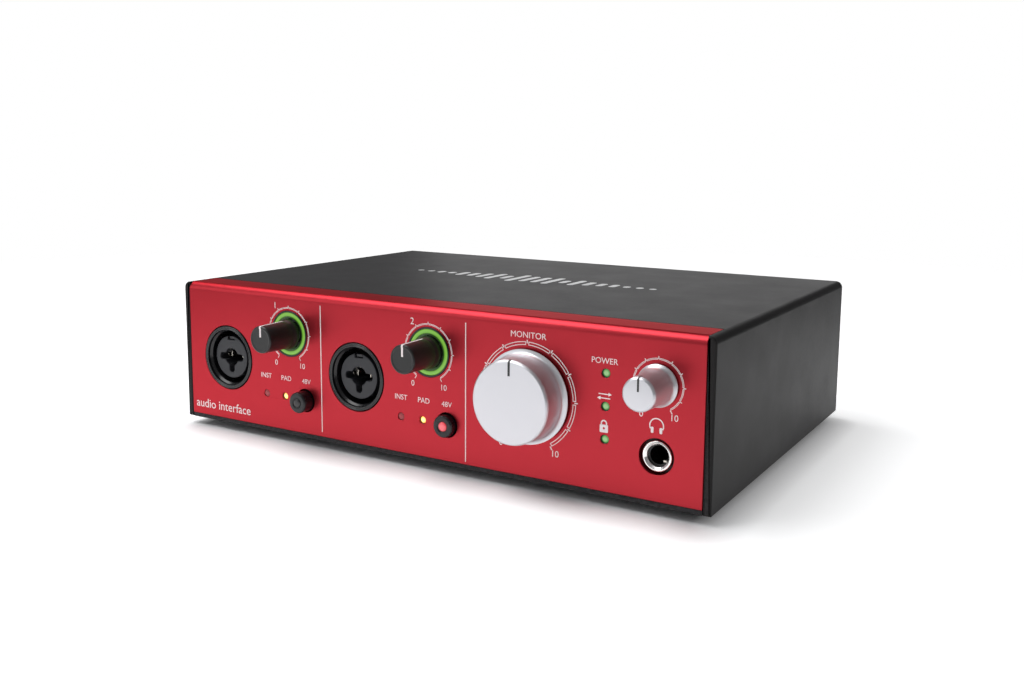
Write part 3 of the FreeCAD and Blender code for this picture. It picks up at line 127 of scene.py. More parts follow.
class Paint:
    """A material and the nodes in it."""

    def __init__(self, name: str) -> None:
        """Start an empty material of that name."""
        self.material = bpy.data.materials.new(name)
        self.material.use_nodes = True
        self.tree = self.material.node_tree
        self.tree.nodes.clear()

    def node(
        self,
        kind: str,
        settings: Mapping[str, Any] | None = None,
        inputs: Mapping[Any, Any] | None = None,
        output: Any = 0,
    ) -> Wire:
        """Add a node.

        Args:
            kind: the node's type.
            settings: its properties, set first. "stops" are a ramp's places and colours.
            inputs: values or wires, by the name or number of the socket.
            output: the name or number of the output to return.

        Returns:
            One output of the node.
        """
        made = self.tree.nodes.new(kind)
        for name, value in (settings or {}).items():
            if name == "stops":
                ramp = made.color_ramp.elements
                while len(ramp) < len(value):
                    ramp.new(0.5)
                for element, (place, colour) in zip(ramp, value):
                    element.position = place
                    element.color = (*colour, 1.0)
            else:
                setattr(made, name, value)
        for key, value in (inputs or {}).items():
            if isinstance(value, Wire):
                self.tree.links.new(value.socket, made.inputs[key])
            elif value is not None:
                made.inputs[key].default_value = value
        return Wire(self, made.outputs[output])

    def spot(self) -> Wire:
        """The place on the piece, in millimetres from its own origin."""
        place = self.node("ShaderNodeTexCoord", output="Object")
        return self.node("ShaderNodeVectorMath", {"operation": "SCALE"}, {0: place, "Scale": 1 / MM})

    def stretch(self, spot: Wire, across: float, along: float, out: float) -> Wire:
        """A place with its three axes scaled."""
        scales = (across, along, out)
        return self.node("ShaderNodeVectorMath", {"operation": "MULTIPLY"}, {0: spot, 1: scales})

    def radius(self, spot: Wire) -> Wire:
        """The distance from the piece's own Z axis, in millimetres."""
        flat = self.stretch(spot, 1, 1, 0)
        return self.node("ShaderNodeVectorMath", {"operation": "LENGTH"}, {0: flat}, "Value")

    def noise(self, spot: Wire, size: float, detail: float = 2.0, rough: float = 0.5) -> Wire:
        """Smooth noise from 0 to 1, whose features are about size millimetres."""
        inputs = {"Vector": spot, "Scale": 1 / size, "Detail": detail, "Roughness": rough}
        return self.node("ShaderNodeTexNoise", None, inputs, "Fac")

    def noise_line(self, value: Wire, size: float, detail: float = 2.0) -> Wire:
        """Noise from 0 to 1 along one number."""
        inputs = {"W": value, "Scale": 1 / size, "Detail": detail}
        return self.node("ShaderNodeTexNoise", {"noise_dimensions": "1D"}, inputs, "Fac")

    def grade(self, value: Wire, low: float, high: float, start: float = 0.0, end: float = 1.0) -> Wire:
        """A number taken from low..high to start..end, and held there."""
        inputs = {0: value, 1: low, 2: high, 3: start, 4: end}
        return self.node("ShaderNodeMapRange", {"clamp": True}, inputs)

    def mix(self, share: Value, first: Any, second: Any) -> Wire:
        """A colour between two."""
        inputs = {0: share, 6: opaque(first), 7: opaque(second)}
        return self.node("ShaderNodeMix", {"data_type": "RGBA"}, inputs, 2)

    def ramp(self, share: Wire, stops: Sequence[tuple[float, Colour]]) -> Wire:
        """A colour from a list of places and colours."""
        return self.node("ShaderNodeValToRGB", {"stops": stops}, {0: share})

    def bump(self, height: Wire, depth: float, below: Wire | None = None) -> Wire:
        """A normal from a height of 0 to 1, which stands for depth millimetres."""
        inputs = {"Strength": 1.0, "Distance": depth * MM, "Height": height, "Normal": below}
        return self.node("ShaderNodeBump", None, inputs)

    def finish(self, inputs: Mapping[str, Any]) -> bpy.types.Material:
        """End in a Principled shader with these inputs, and return the material."""
        shader = self.node("ShaderNodeBsdfPrincipled", None, inputs)
        self.node_output(shader)
        return self.material

    def node_output(self, shader: Wire) -> None:
        """Join a shader to the material's output."""
        end = self.tree.nodes.new("ShaderNodeOutputMaterial")
        self.tree.links.new(shader.socket, end.inputs["Surface"])


def opaque(colour: Any) -> Any:
    """A plain colour with full alpha, or a wire as it is."""
    return colour if isinstance(colour, Wire) else (*colour, 1.0)


# ---------------------------------------------------------------- finishes

NOISE_SPAN = (0.25, 0.75)
CLOUD_SIZE = 18.0
CLOUD_SHARE, MARK_SHARE = 0.7, 0.3
EDGE_SPAN = (0.53, 0.62)
RUB_SPAN = (0.35, 0.65)
RUB_SIZE = 1.2
STREAK = (0.03, 1, 1)
BRUSH_SHARES = (0.7, 0.3)
GRAIN_SHARES = (0.6, 0.4)
POWDER_LUMP = 3
PLATING_WAVE = 20
SKIN_DEPTH = 0.004


class Texture(Enum):
    """The kinds of fine marks that a surface has."""

    BLASTED = "bead-blasted, then anodised"
    BRUSHED = "brushed along X"
    SPUN = "turned on a lathe"
    MOULDED = "spark-eroded mould"
    POWDER = "powder coat"
    PLATED = "bright plating"
    RUBBER = "soft rubber"

    def marks(self, paint: Paint, spot: Wire, size: float) -> Wire:
        """The height of the marks, from 0 to 1.

        Args:
            paint: the material to add to.
            spot: the place on the piece.
            size: the size of the finest marks, in millimetres.

        Returns:
            The height.
        """
        coarse, fine = BRUSH_SHARES if self is Texture.BRUSHED else GRAIN_SHARES
        if self is Texture.BRUSHED:
            streaks = paint.noise(paint.stretch(spot, *STREAK), size, 3)
            return streaks * coarse + paint.noise(spot, size, 2) * fine
        if self is Texture.SPUN:
            return paint.noise_line(paint.radius(spot), size, 3)
        if self is Texture.POWDER:
            return paint.noise(spot, size * POWDER_LUMP, 1) * coarse + paint.noise(spot, size, 2) * fine
        if self is Texture.PLATED:
            return paint.noise(spot, size * PLATING_WAVE, 1)
        if self is Texture.RUBBER:
            return paint.noise(spot, size, 5, 0.7)
        if self is Texture.BLASTED:
            inputs = {"Vector": spot, "Scale": 1 / size}
            cells = paint.node("ShaderNodeTexVoronoi", None, inputs, "Distance")
            return cells * coarse + paint.noise(spot, size, 3) * fine
        return paint.noise(spot, size, 3, 0.6)


@dataclass(frozen=True)
class Finish:
    """A surface finish, as the numbers that its shader is made from."""

    name: str
    colour: Colour
    roughness: float
    metallic: float = 0.0
    coat: float = 0.0
    texture: Texture = Texture.MOULDED
    size: float = 0.15
    depth: float = 0.006
    mottle: float = 0.08
    smudge: float = 0.06
    wear: float = 0.0
    worn: Colour = (0.6, 0.6, 0.6)
    coat_roughness: float = 0.2
    specular: float = 0.5
    tint: Colour = (1.0, 1.0, 1.0)

    def build(self) -> bpy.types.Material:
        """Make the material: mottled colour, smudged gloss, fine marks and rubbed edges."""
        paint = Paint(self.name)
        spot = paint.spot()
        marks = self.texture.marks(paint, spot, self.size)
        clouds = paint.noise(spot, CLOUD_SIZE, 4, 0.6)
        share = paint.grade(clouds * CLOUD_SHARE + marks * MARK_SHARE, *NOISE_SPAN)
        dark = tuple(part * (1 - self.mottle) for part in self.colour)
        light = tuple(min(1.0, part * (1 + self.mottle)) for part in self.colour)
        colour = paint.mix(share, dark, light)
        smooth, rough = self.roughness - self.smudge, self.roughness + self.smudge
        roughness = paint.grade(clouds, *NOISE_SPAN, smooth, rough)
        if self.wear:
            point = paint.node("ShaderNodeNewGeometry", output="Pointiness")
            edge = paint.grade(point, *EDGE_SPAN) * paint.grade(paint.noise(spot, RUB_SIZE, 4), *RUB_SPAN)
            colour = paint.mix(edge * self.wear, colour, self.worn)
        inputs = {
            "Base Color": colour,
            "Roughness": roughness,
            "Metallic": self.metallic,
            "Coat Weight": self.coat,
            "Coat Roughness": self.coat_roughness,
            "Specular IOR Level": self.specular,
            "Specular Tint": opaque(self.tint),
            "Normal": paint.bump(marks, self.depth),
        }
        return paint.finish(inputs)


@dataclass(frozen=True)
class Lamp:
    """A light seen through its lens: bright in the middle and deeper in colour towards the rim."""

    name: str
    core: Colour
    rim: Colour
    reach: float
    strength: float
    roughness: float = 0.25
    body: float = 0.25
    coat: float = 0.5
    ripple: float = 0.16
    ripple_size: float = 0.35
    core_reach: float = 0.45
    cloud_size: float = 0.6
    skin_size: float = 0.2

    def build(self) -> bpy.types.Material:
        """Make the material."""
        paint = Paint(self.name)
        spot = paint.spot()
        radius = paint.radius(spot) / self.reach
        ripple = paint.noise(spot, self.ripple_size, 3) * self.ripple - self.ripple / 2
        stops = [(0.0, self.core), (self.core_reach, self.core), (1.0, self.rim)]
        glow = paint.ramp(radius + ripple, stops)
        dim = [tuple(part * self.body for part in shade) for shade in (self.rim, self.core)]
        body = paint.mix(paint.noise(spot, self.cloud_size, 3), *dim)
        return paint.finish(
            {
                "Base Color": body,
                "Roughness": self.roughness,
                "Emission Color": glow,
                "Emission Strength": self.strength,
                "Coat Weight": self.coat,
                "Normal": paint.bump(paint.noise(spot, self.skin_size, 2), SKIN_DEPTH),
            }
        )


@dataclass(frozen=True)
class BoardFinish:
    """A circuit board: solder mask over tracks, with pads."""

    name: str
    mask: Colour = (0.006, 0.09, 0.03)
    track: Colour = (0.012, 0.16, 0.05)
    pad: Colour = (0.75, 0.72, 0.62)
    lane_scale: float = 0.25
    lanes: int = 6
    lane_edge: tuple[float, float] = (1.2, 1.3)
    pad_scale: float = 0.4
    pad_edge: tuple[float, float] = (0.14, 0.17)
    copper_height: float = 0.03

    def build(self) -> bpy.types.Material:
        """Make the material."""
        paint = Paint(self.name)
        spot = paint.spot()
        cells = {"Vector": spot, "Scale": self.lane_scale}
        settings = {"distance": "CHEBYCHEV"}
        lanes = paint.node("ShaderNodeTexVoronoi", settings, cells, "Distance")
        tracks = paint.grade(lanes * self.lanes - lanes.math("FLOOR") * self.lanes, *self.lane_edge)
        dots = paint.node("ShaderNodeTexVoronoi", None, {"Vector": spot, "Scale": self.pad_scale}, "Distance")
        pads = 1 - paint.grade(dots, *self.pad_edge)
        colour = paint.mix(pads, paint.mix(tracks, self.mask, self.track), self.pad)
        inputs = {
            "Base Color": colour,
            "Roughness": paint.grade(pads, 0, 1, 0.35, 0.25),
            "Metallic": pads,
            "Coat Weight": 0.3,
            "Normal": paint.bump(tracks + pads, self.copper_height),
        }
        return paint.finish(inputs)


FINISHES: dict[str, Any] = {
    "anodised_red": Finish(
        "satin_red_anodising", (0.42, 0.026, 0.037), 0.36, 0.94, 0.1, Texture.BLASTED, 0.11, 0.003,
        mottle=0.04, smudge=0.02, coat_roughness=0.3, tint=(1.0, 0.22, 0.24),
    ),
    "case_black": Finish(
        "satin_black_cover", (0.019, 0.018, 0.018), 0.40, 0.0, 0.0, Texture.POWDER, 0.14, 0.004,
        specular=0.08, mottle=0.04, smudge=0.03, wear=0.2, worn=(0.14, 0.14, 0.15),
    ),
    "plate_black": Finish(
        "black_plate", (0.015, 0.015, 0.016), 0.5, 0.0, 0.0, Texture.POWDER, 0.2, 0.006,
        specular=0.15, wear=0.2, worn=(0.14, 0.14, 0.15),
    ),
    "rubber": Finish(
        "grey_rubber", (0.022, 0.022, 0.023), 0.78, texture=Texture.RUBBER, size=0.3, depth=0.03
    ),
    "screw_black": Finish(
        "blacked_steel", (0.05, 0.05, 0.055), 0.34, 0.9, texture=Texture.SPUN, size=0.12, wear=0.5,
        worn=(0.4, 0.4, 0.42),
    ),
    "socket_black": Finish(
        "glossy_socket_moulding", (0.006, 0.006, 0.007), 0.24, 0.0, 0.15, Texture.MOULDED, 0.25, 0.004,
        coat_roughness=0.15, specular=0.4,
    ),
    "insert_grey": Finish(
        "grey_socket_core", (0.017, 0.018, 0.022), 0.36, size=0.2, depth=0.006, mottle=0.12, specular=0.4
    ),
    "contact_metal": Finish(
        "tinned_contact", (0.55, 0.52, 0.46), 0.22, 1.0, texture=Texture.BRUSHED, size=0.1
    ),
    "bezel_black": Finish("black_bezel", (0.010, 0.010, 0.010), 0.3, size=0.2, depth=0.004),
    "knob_black": Finish(
        "black_knob_moulding", (0.008, 0.008, 0.008), 0.36, 0.0, 0.08, Texture.MOULDED, 0.12, 0.005,
        wear=0.3, worn=(0.06, 0.06, 0.06), coat_roughness=0.4, specular=0.42,
    ),
    "knob_silver": Finish(
        "turned_aluminium", (0.62, 0.62, 0.65), 0.36, 0.82, texture=Texture.SPUN, size=0.16, depth=0.0012,
        mottle=0.015, smudge=0.02,
    ),
    "shaft_steel": Finish("turned_steel", (0.62, 0.62, 0.64), 0.28, 1.0, texture=Texture.SPUN, size=0.1),
    "pot_metal": Finish("pressed_steel", (0.55, 0.56, 0.57), 0.36, 1.0, texture=Texture.BRUSHED, size=0.2),
    "chrome": Finish(
        "bright_chrome", (0.86, 0.85, 0.83), 0.16, 1.0, texture=Texture.PLATED, size=0.1, depth=0.003,
        smudge=0.03,
    ),
    "button_black": Finish(
        "black_button_moulding", (0.004, 0.004, 0.006), 0.3, 0.0, 0.1, Texture.MOULDED, 0.14, 0.005,
        coat_roughness=0.3, specular=0.38,
    ),
    "lens_red": Lamp("lit_red_lens", (0.88, 0.13, 0.16), (0.60, 0.02, 0.03), 1.7, 0.85),
    # unlit lens: its faint glow, pink in the middle, is a painted highlight
    "lamp_red": Lamp("unlit_red_lens_painted_glow", (0.46, 0.05, 0.06), (0.10, 0.004, 0.006), 1.1, 0.12, 0.5, 1.0, 0.1),
    "lamp_amber": Lamp("lit_amber_lens", (1.0, 0.80, 0.28), (0.80, 0.26, 0.02), 1.15, 1.7),
    "lamp_green": Lamp("lit_green_lens", (0.27, 0.52, 0.20), (0.03, 0.17, 0.04), 1.25, 0.85),
    "board_green": BoardFinish("solder_mask"),
    "chip_black": Finish("chip_moulding", (0.014, 0.014, 0.015), 0.5, size=0.1, depth=0.01),
    "can_silver": Finish("can_sleeve", (0.7, 0.7, 0.72), 0.3, 1.0, texture=Texture.SPUN, size=0.3),
    "connector_black": Finish("connector_moulding", (0.016, 0.016, 0.018), 0.42, size=0.18, depth=0.01),
    "nut_nickel": Finish(
        "nickel_nut", (0.68, 0.65, 0.60), 0.22, 1.0, texture=Texture.BRUSHED, size=0.12, wear=0.3
    ),
}
EXTRA_FINISHES: dict[str, Any] = {
    "print_white": Finish("white_print", (0.82, 0.74, 0.74), 0.55, size=0.08, depth=0.003, mottle=0.05),
    "print_black": Finish("black_inlay", (0.012, 0.012, 0.013), 0.35, size=0.1, depth=0.003),
    "emblem": Finish("pale_print", (0.60, 0.60, 0.60), 0.3, 0.5, size=0.1, depth=0.002),
    "dark_lens": Finish("unlit_dark_lens", (0.006, 0.004, 0.005), 0.3, 0.0, 0.1, size=0.3, depth=0.004),
}


@dataclass(frozen=True)
class HaloFinish:
    """The ring of light round a gain knob: a bright band, with painted shade on the step inside it."""

    name: str = "green_light_ring"
    bright: Colour = (0.14, 0.38, 0.025)
    pale: Colour = (0.22, 0.50, 0.06)
    # painted shade: the dim colour that the step inside the ring glows with, standing in for its shadow
    painted_step_shade: Colour = (0.012, 0.035, 0.008)
    inner: float = 5.5
    outer: float = 7.6
    strength: float = 0.9
    haze: float = 0.08
    haze_size: float = 1.5
    step_at: tuple[float, float] = (0.30, 0.42)
    pale_at: float = 0.78
    body: tuple[Colour, Colour] = ((0.02, 0.05, 0.01), (0.03, 0.07, 0.02))

    def build(self) -> bpy.types.Material:
        """Make the material."""
        paint = Paint(self.name)
        spot = paint.spot()
        across = paint.grade(paint.radius(spot), self.inner, self.outer)
        hazy = across + (paint.noise(spot, self.haze_size, 3) - 0.5) * self.haze
        # the inner stops paint the step's shade into the glow
        stops = [
            (0.0, self.painted_step_shade),
            (self.step_at[0], self.painted_step_shade),
            (self.step_at[1], self.bright),
            (self.pale_at, self.pale),
            (1.0, self.bright),
        ]
        return paint.finish(
            {
                "Base Color": paint.mix(hazy, *self.body),
                "Roughness": 0.3,
                "Emission Color": paint.ramp(hazy, stops),
                "Emission Strength": self.strength,
                "Normal": paint.bump(paint.noise(spot, 0.3, 2), SKIN_DEPTH),
            }
        )


FINISHES["halo_green"] = HaloFinish()


class Palette:
    """Every material, made once and handed out by the name of its slot."""

    def __init__(self) -> None:
        """Make all the materials."""
        self.made = {key: each.build() for key, each in {**FINISHES, **EXTRA_FINISHES}.items()}

    def __getitem__(self, key: str) -> bpy.types.Material:
        """The material of that slot."""
        return self.made[key]


# ---------------------------------------------------------------- outlines


def soften(corners: Sequence[Corner], closed: bool = True, steps: int = 5) -> Loop:
    """Round the corners of an outline.

    Args:
        corners: points, each with an optional third number, its rounding.
        closed: whether the last point joins the first.
        steps: how many edges a rounded corner has.

    Returns:
        The points of the rounded outline.
    """
    count = len(corners)
    points: Loop = []
    for number, corner in enumerate(corners):
        here = Vector(corner[:2])
        radius = corner[2] if len(corner) > 2 else 0.0
        if radius <= 0 or (not closed and number in (0, count - 1)):
            points.append((here.x, here.y))
            continue
        back = (Vector(corners[number - 1][:2]) - here).normalized()
        ahead = (Vector(corners[(number + 1) % count][:2]) - here).normalized()
        half = back.angle(ahead) / 2
        if half > math.radians(89):
            points.append((here.x, here.y))
            continue
        centre = here + (back + ahead).normalized() * radius / math.sin(half)
        start = here + back * radius / math.tan(half) - centre
        end = here + ahead * radius / math.tan(half) - centre
        turn = start.angle_signed(end)
        for step in range(steps + 1):
            spoke = start.copy()
            spoke.rotate(Matrix.Rotation(-turn * step / steps, 2))
            points.append((centre.x + spoke.x, centre.y + spoke.y))
    return points


def circle(radius: float, centre: Corner = (0.0, 0.0), count: int = 0) -> Loop:
    """A round outline, with more points on a larger one."""
    count = count or max(28, int(radius * 10) // 4 * 4)
    turns = (2 * math.pi * number / count for number in range(count))
    return [(centre[0] + radius * math.cos(turn), centre[1] + radius * math.sin(turn)) for turn in turns]


def rectangle(wide: float, tall: float, rounding: float = 0.0, centre: Corner = (0.0, 0.0)) -> Loop:
    """A rectangle about a centre, with rounded corners."""
    across, up = wide / 2, tall / 2
    corners = [(-across, -up), (across, -up), (across, up), (-across, up)]
    return soften([(centre[0] + x, centre[1] + y, rounding) for x, y in corners])


def band(inner: float, outer: float, start: float, end: float, centre: Corner = (0.0, 0.0)) -> Loop:
    """A stretch of a ring between two angles, in degrees clockwise from the top."""
    count = max(2, int(abs(end - start) / 4))
    turns = [math.radians(start + (end - start) * number / count) for number in range(count + 1)]
    far = [(outer * math.sin(turn), outer * math.cos(turn)) for turn in turns]
    near = [(inner * math.sin(turn), inner * math.cos(turn)) for turn in reversed(turns)]
    return [(centre[0] + x, centre[1] + y) for x, y in far + near]


def stroke(path: Sequence[Corner], width: float) -> Loop:
    """The outline of a line of even width along a path."""
    sides: tuple[Loop, Loop] = ([], [])
    for number, point in enumerate(path):
        before = Vector(path[max(number - 1, 0)])
        after = Vector(path[min(number + 1, len(path) - 1)])
        way = (after - before).normalized()
        off = Vector((-way.y, way.x)) * width / 2
        sides[0].append((point[0] + off.x, point[1] + off.y))
        sides[1].append((point[0] - off.x, point[1] - off.y))
    return sides[0] + sides[1][::-1]


def facing(loop: Loop, anticlockwise: bool) -> Loop:
    """The outline, run in the given direction."""
    area = sum(a[0] * b[1] - b[0] * a[1] for a, b in zip(loop, loop[1:] + loop[:1]))
    return loop if (area > 0) == anticlockwise else loop[::-1]


def inset(loop: Loop, distance: float) -> Loop:
    """Move an outline to its left by a distance."""
    moved: Loop = []
    count = len(loop)
    for number, (across, up) in enumerate(loop):
        back = Vector((across, up)) - Vector(loop[number - 1])
        ahead = Vector(loop[(number + 1) % count]) - Vector((across, up))
        sides = [Vector((-way.y, way.x)).normalized() for way in (back, ahead)]
        middle = (sides[0] + sides[1]).normalized()
        reach = distance / max(0.35, middle.dot(sides[0]))
        moved.append((across + middle.x * reach, up + middle.y * reach))
    return moved


# ---------------------------------------------------------------- forms


class Form:
    """A mesh being built: points in millimetres, and faces."""

    def __init__(self) -> None:
        """Start with nothing."""
        self.points: list[Vector] = []
        self.faces: list[list[int]] = []

    def add(self, other: "Form", place: Matrix | None = None) -> "Form":
        """Take in another form, moved to a place."""
        start = len(self.points)
        place = place or Matrix.Identity(4)
        self.points += [place @ point for point in other.points]
        self.faces += [[start + index for index in face] for face in other.faces]
        return self

    def ring(self, loop: Loop, height: float) -> list[int]:
        """Add the points of an outline at a height, and return their numbers."""
        start = len(self.points)
        self.points += [Vector((across, up, height)) for across, up in loop]
        return list(range(start, start + len(loop)))

    def wall(self, first: list[int], second: list[int]) -> None:
        """Join two rings of the same count with faces."""
        count = len(first)
        for number in range(count):
            after = (number + 1) % count
            self.faces.append([first[number], first[after], second[after], second[number]])

    def fill(self, outer: list[int], holes: Sequence[list[int]] = ()) -> None:
        """Close the area between a ring and the rings of its holes, which lie in one plane across an axis."""
        loops = [outer, *holes]
        index = [number for loop in loops for number in loop]
        spread = [max(values) - min(values) for values in zip(*(self.points[number] for number in outer))]
        first, second = sorted(sorted(range(3), key=lambda axis: spread[axis])[1:])
        flat = [Vector((self.points[number][first], self.points[number][second])) for number in index]
        regions = []
        start = 0
        for loop in loops:
            turn = facing([tuple(flat[start + step]) for step in range(len(loop))], True)
            forward = turn[0] == tuple(flat[start])
            numbers = list(range(start, start + len(loop)))
            regions.append(numbers if forward else numbers[::-1])
            start += len(loop)
        found = delaunay_2d_cdt(flat, [], regions, 1, 1e-7, True)
        for face, owners in zip(found[2], found[5]):
            if list(owners) == [0]:
                self.faces.append([index[found[3][corner][0]] for corner in face])

    def build(self, name: str) -> bpy.types.Mesh:
        """Make the mesh, in metres, with doubled points merged and every face turned outwards."""
        mesh = bpy.data.meshes.new(name)
        mesh.from_pydata([point * MM for point in self.points], [], self.faces)
        work = bmesh.new()
        work.from_mesh(mesh)
        bmesh.ops.remove_doubles(work, verts=work.verts, dist=MERGE_BELOW * MM)
        bmesh.ops.recalc_face_normals(work, faces=work.faces)
        work.to_mesh(mesh)
        work.free()
        mesh.shade_smooth()
        mesh.set_sharp_from_angle(angle=SMOOTH_BELOW)
        return mesh


def spun(outline: Sequence[Corner], turns: int = 96, steps: int = 4, closed: bool = False) -> Form:
    """Turn an outline of radii and heights about Z.

    Args:
        outline: radius, height and optional rounding of each corner.
        turns: how many faces go round.
        steps: how many edges a rounded corner has.
        closed: whether the outline is a loop that stays clear of the axis.

    Returns:
        The form.
    """
    form = Form()
    rings: list[list[int]] = []
    for radius, height in soften(outline, closed, steps):
        if radius < 1e-6:
            form.points.append(Vector((0, 0, height)))
            rings.append([len(form.points) - 1] * turns)
        else:
            rings.append(form.ring(circle(radius, count=turns), height))
    pairs = zip(rings, rings[1:] + rings[:1]) if closed else zip(rings, rings[1:])
    for first, second in pairs:
        for number in range(turns):
            after = (number + 1) % turns
            corners = [first[number], first[after], second[after], second[number]]
            face = list(dict.fromkeys(corners))
            if len(face) > 2:
                form.faces.append(face)
    return form


def slab(
    outer: Loop,
    holes: Sequence[Loop] = (),
    low: float = 0.0,
    high: float = 1.0,
    ease: float = 0.0,
    steps: int = 3,
) -> Form:
    """A plate between two heights, with eased upper edges.

    Args:
        outer: its outline.
        holes: the outlines of its holes.
        low: the height of its underside.
        high: the height of its upper side.
        ease: the rounding of its upper edges.
        steps: how many edges a rounded edge has.

    Returns:
        The form.
    """
    form = Form()
    tops: list[list[int]] = []
    bottoms: list[list[int]] = []
    for number, loop in enumerate([outer, *holes]):
        loop = facing(loop, number == 0)
        rings = []
        for step in range(steps + 1) if ease else ():
            turn = math.pi / 2 * step / steps
            shrunk = inset(loop, ease * (1 - math.sin(turn)))
            rings.append(form.ring(shrunk, high - ease * (1 - math.cos(turn))))
        if not ease:
            rings.append(form.ring(loop, high))
        rings.append(form.ring(loop, low))
        for first, second in zip(rings, rings[1:]):
            form.wall(first, second)
        tops.append(rings[0])
        bottoms.append(rings[-1])
    form.fill(tops[0], tops[1:])
    form.fill(bottoms[0], bottoms[1:])
    return form


def lettering(words: str, tall: float, centre: Corner, low: float, high: float, left: bool = False) -> Form:
    """Raised letters, centred on a point or starting from it.

    Args:
        words: what they say.
        tall: the height of the capitals.
        centre: the middle of the line, or its left end.
        low: the height of their underside.
        high: the height of their upper side.
        left: whether the line starts at the point.

    Returns:
        The form.
    """
    curve = bpy.data.curves.new("lettering", "FONT")
    curve.body = words
    curve.size = 1.0
    curve.resolution_u = 4
    curve.extrude = 0.5
    holder = bpy.data.objects.new("lettering", curve)
    bpy.context.scene.collection.objects.link(holder)
    graph = bpy.context.evaluated_depsgraph_get()
    mesh = bpy.data.meshes.new_from_object(holder.evaluated_get(graph))
    across = [vertex.co.x for vertex in mesh.vertices]
    up = [vertex.co.y for vertex in mesh.vertices]
    scale = tall / (max(up) - min(up))
    start = min(across) if left else (min(across) + max(across)) / 2
    middle = (min(up) + max(up)) / 2
    form = Form()
    for vertex in mesh.vertices:
        x = centre[0] + (vertex.co.x - start) * scale
        y = centre[1] + (vertex.co.y - middle) * scale
        form.points.append(Vector((x, y, high if vertex.co.z > 0 else low)))
    form.faces = [list(face.vertices) for face in mesh.polygons]
    bpy.data.objects.remove(holder)
    bpy.data.curves.remove(curve)
    bpy.data.meshes.remove(mesh)
    return form


# ---------------------------------------------------------------- places


def span(node: str) -> tuple[Vector, Vector]:
    """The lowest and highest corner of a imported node, in millimetres."""
    low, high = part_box(node)
    return low / MM, high / MM


def middle(node: str) -> Vector:
    """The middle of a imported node, in millimetres."""
    low, high = span(node)
    return (low + high) / 2


FRONT = span("front_panel")[0].y
REAR = span("rear_panel")[1].y
CASE_TOP = span("top_cover")[1].z
PRINT_LOW = -0.02
PRINT_HIGH = 0.035
BEHIND_PLATE = -3.05
SCREW_HEAD = 2.6


def printed(outline: Loop, holes: Sequence[Loop] = ()) -> Form:
    """A flat printed mark of the ink's thickness."""
    return slab(outline, holes, PRINT_LOW, PRINT_HIGH)


def printed_words(words: str, tall: float, centre: Corner, left: bool = False) -> Form:
    """Printed letters, centred on a point or starting from it."""
    return lettering(words, tall, centre, PRINT_LOW, PRINT_HIGH, left)


def front_at(across: float = 0.0, up: float = 0.0, out: float = 0.0) -> Matrix:
    """The frame of a piece on the front: X right, Y up, Z out of the panel."""
    return Matrix.Translation((across, FRONT - out, up)) @ Matrix.Rotation(math.pi / 2, 4, "X")


def rear_at(across: float = 0.0, up: float = 0.0, out: float = 0.0) -> Matrix:
    """The frame of a piece on the back: X to the left of the object, Y up, Z out of the rear panel."""
    turn = Matrix.Rotation(math.pi, 4, "Z") @ Matrix.Rotation(math.pi / 2, 4, "X")
    return Matrix.Translation((across, REAR + out, up)) @ turn


def front_of(node: str) -> Matrix:
    """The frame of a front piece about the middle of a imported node."""
    spot = middle(node)
    return front_at(spot.x, spot.z)


class Shop:
    """Installs finished pieces: material, body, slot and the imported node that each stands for."""

    def __init__(self, palette: Palette) -> None:
        """Keep the palette."""
        self.palette = palette

    def install(
        self,
        name: str,
        form: Form,
        place: Matrix,
        finish: str,
        body: str = CHASSIS,
        stands_for: Iterable[str] = (),
    ) -> bpy.types.Object:
        """Put one piece in the scene.

        Args:
            name: the piece's name.
            form: its shape, in its own frame.
            place: that frame, in millimetres.
            finish: the slot or extra finish that it is dressed in.
            body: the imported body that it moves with.
            stands_for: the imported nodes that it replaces.

        Returns:
            The piece.
        """
        piece = bpy.data.objects.new(name, form.build(name))
        bpy.context.scene.collection.objects.link(piece)
        piece.matrix_world = Matrix.Translation(place.to_translation() * MM) @ place.to_3x3().to_4x4()
        piece.data.materials.append(self.palette[finish])
        weighted = piece.modifiers.new("even_shading", "WEIGHTED_NORMAL")
        weighted.keep_sharp = True
        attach(piece, body)
        for node in stands_for:
            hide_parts(node)
        log.info("%s: %d faces", name, len(piece.data.polygons))
        return piece

    def dress_frame(self) -> None:
        """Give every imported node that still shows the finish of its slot."""
        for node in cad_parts.values():
            for holder in node.material_slots:
                holder.material = self.palette[holder.material.name.split(".")[0]]


# ---------------------------------------------------------------- case


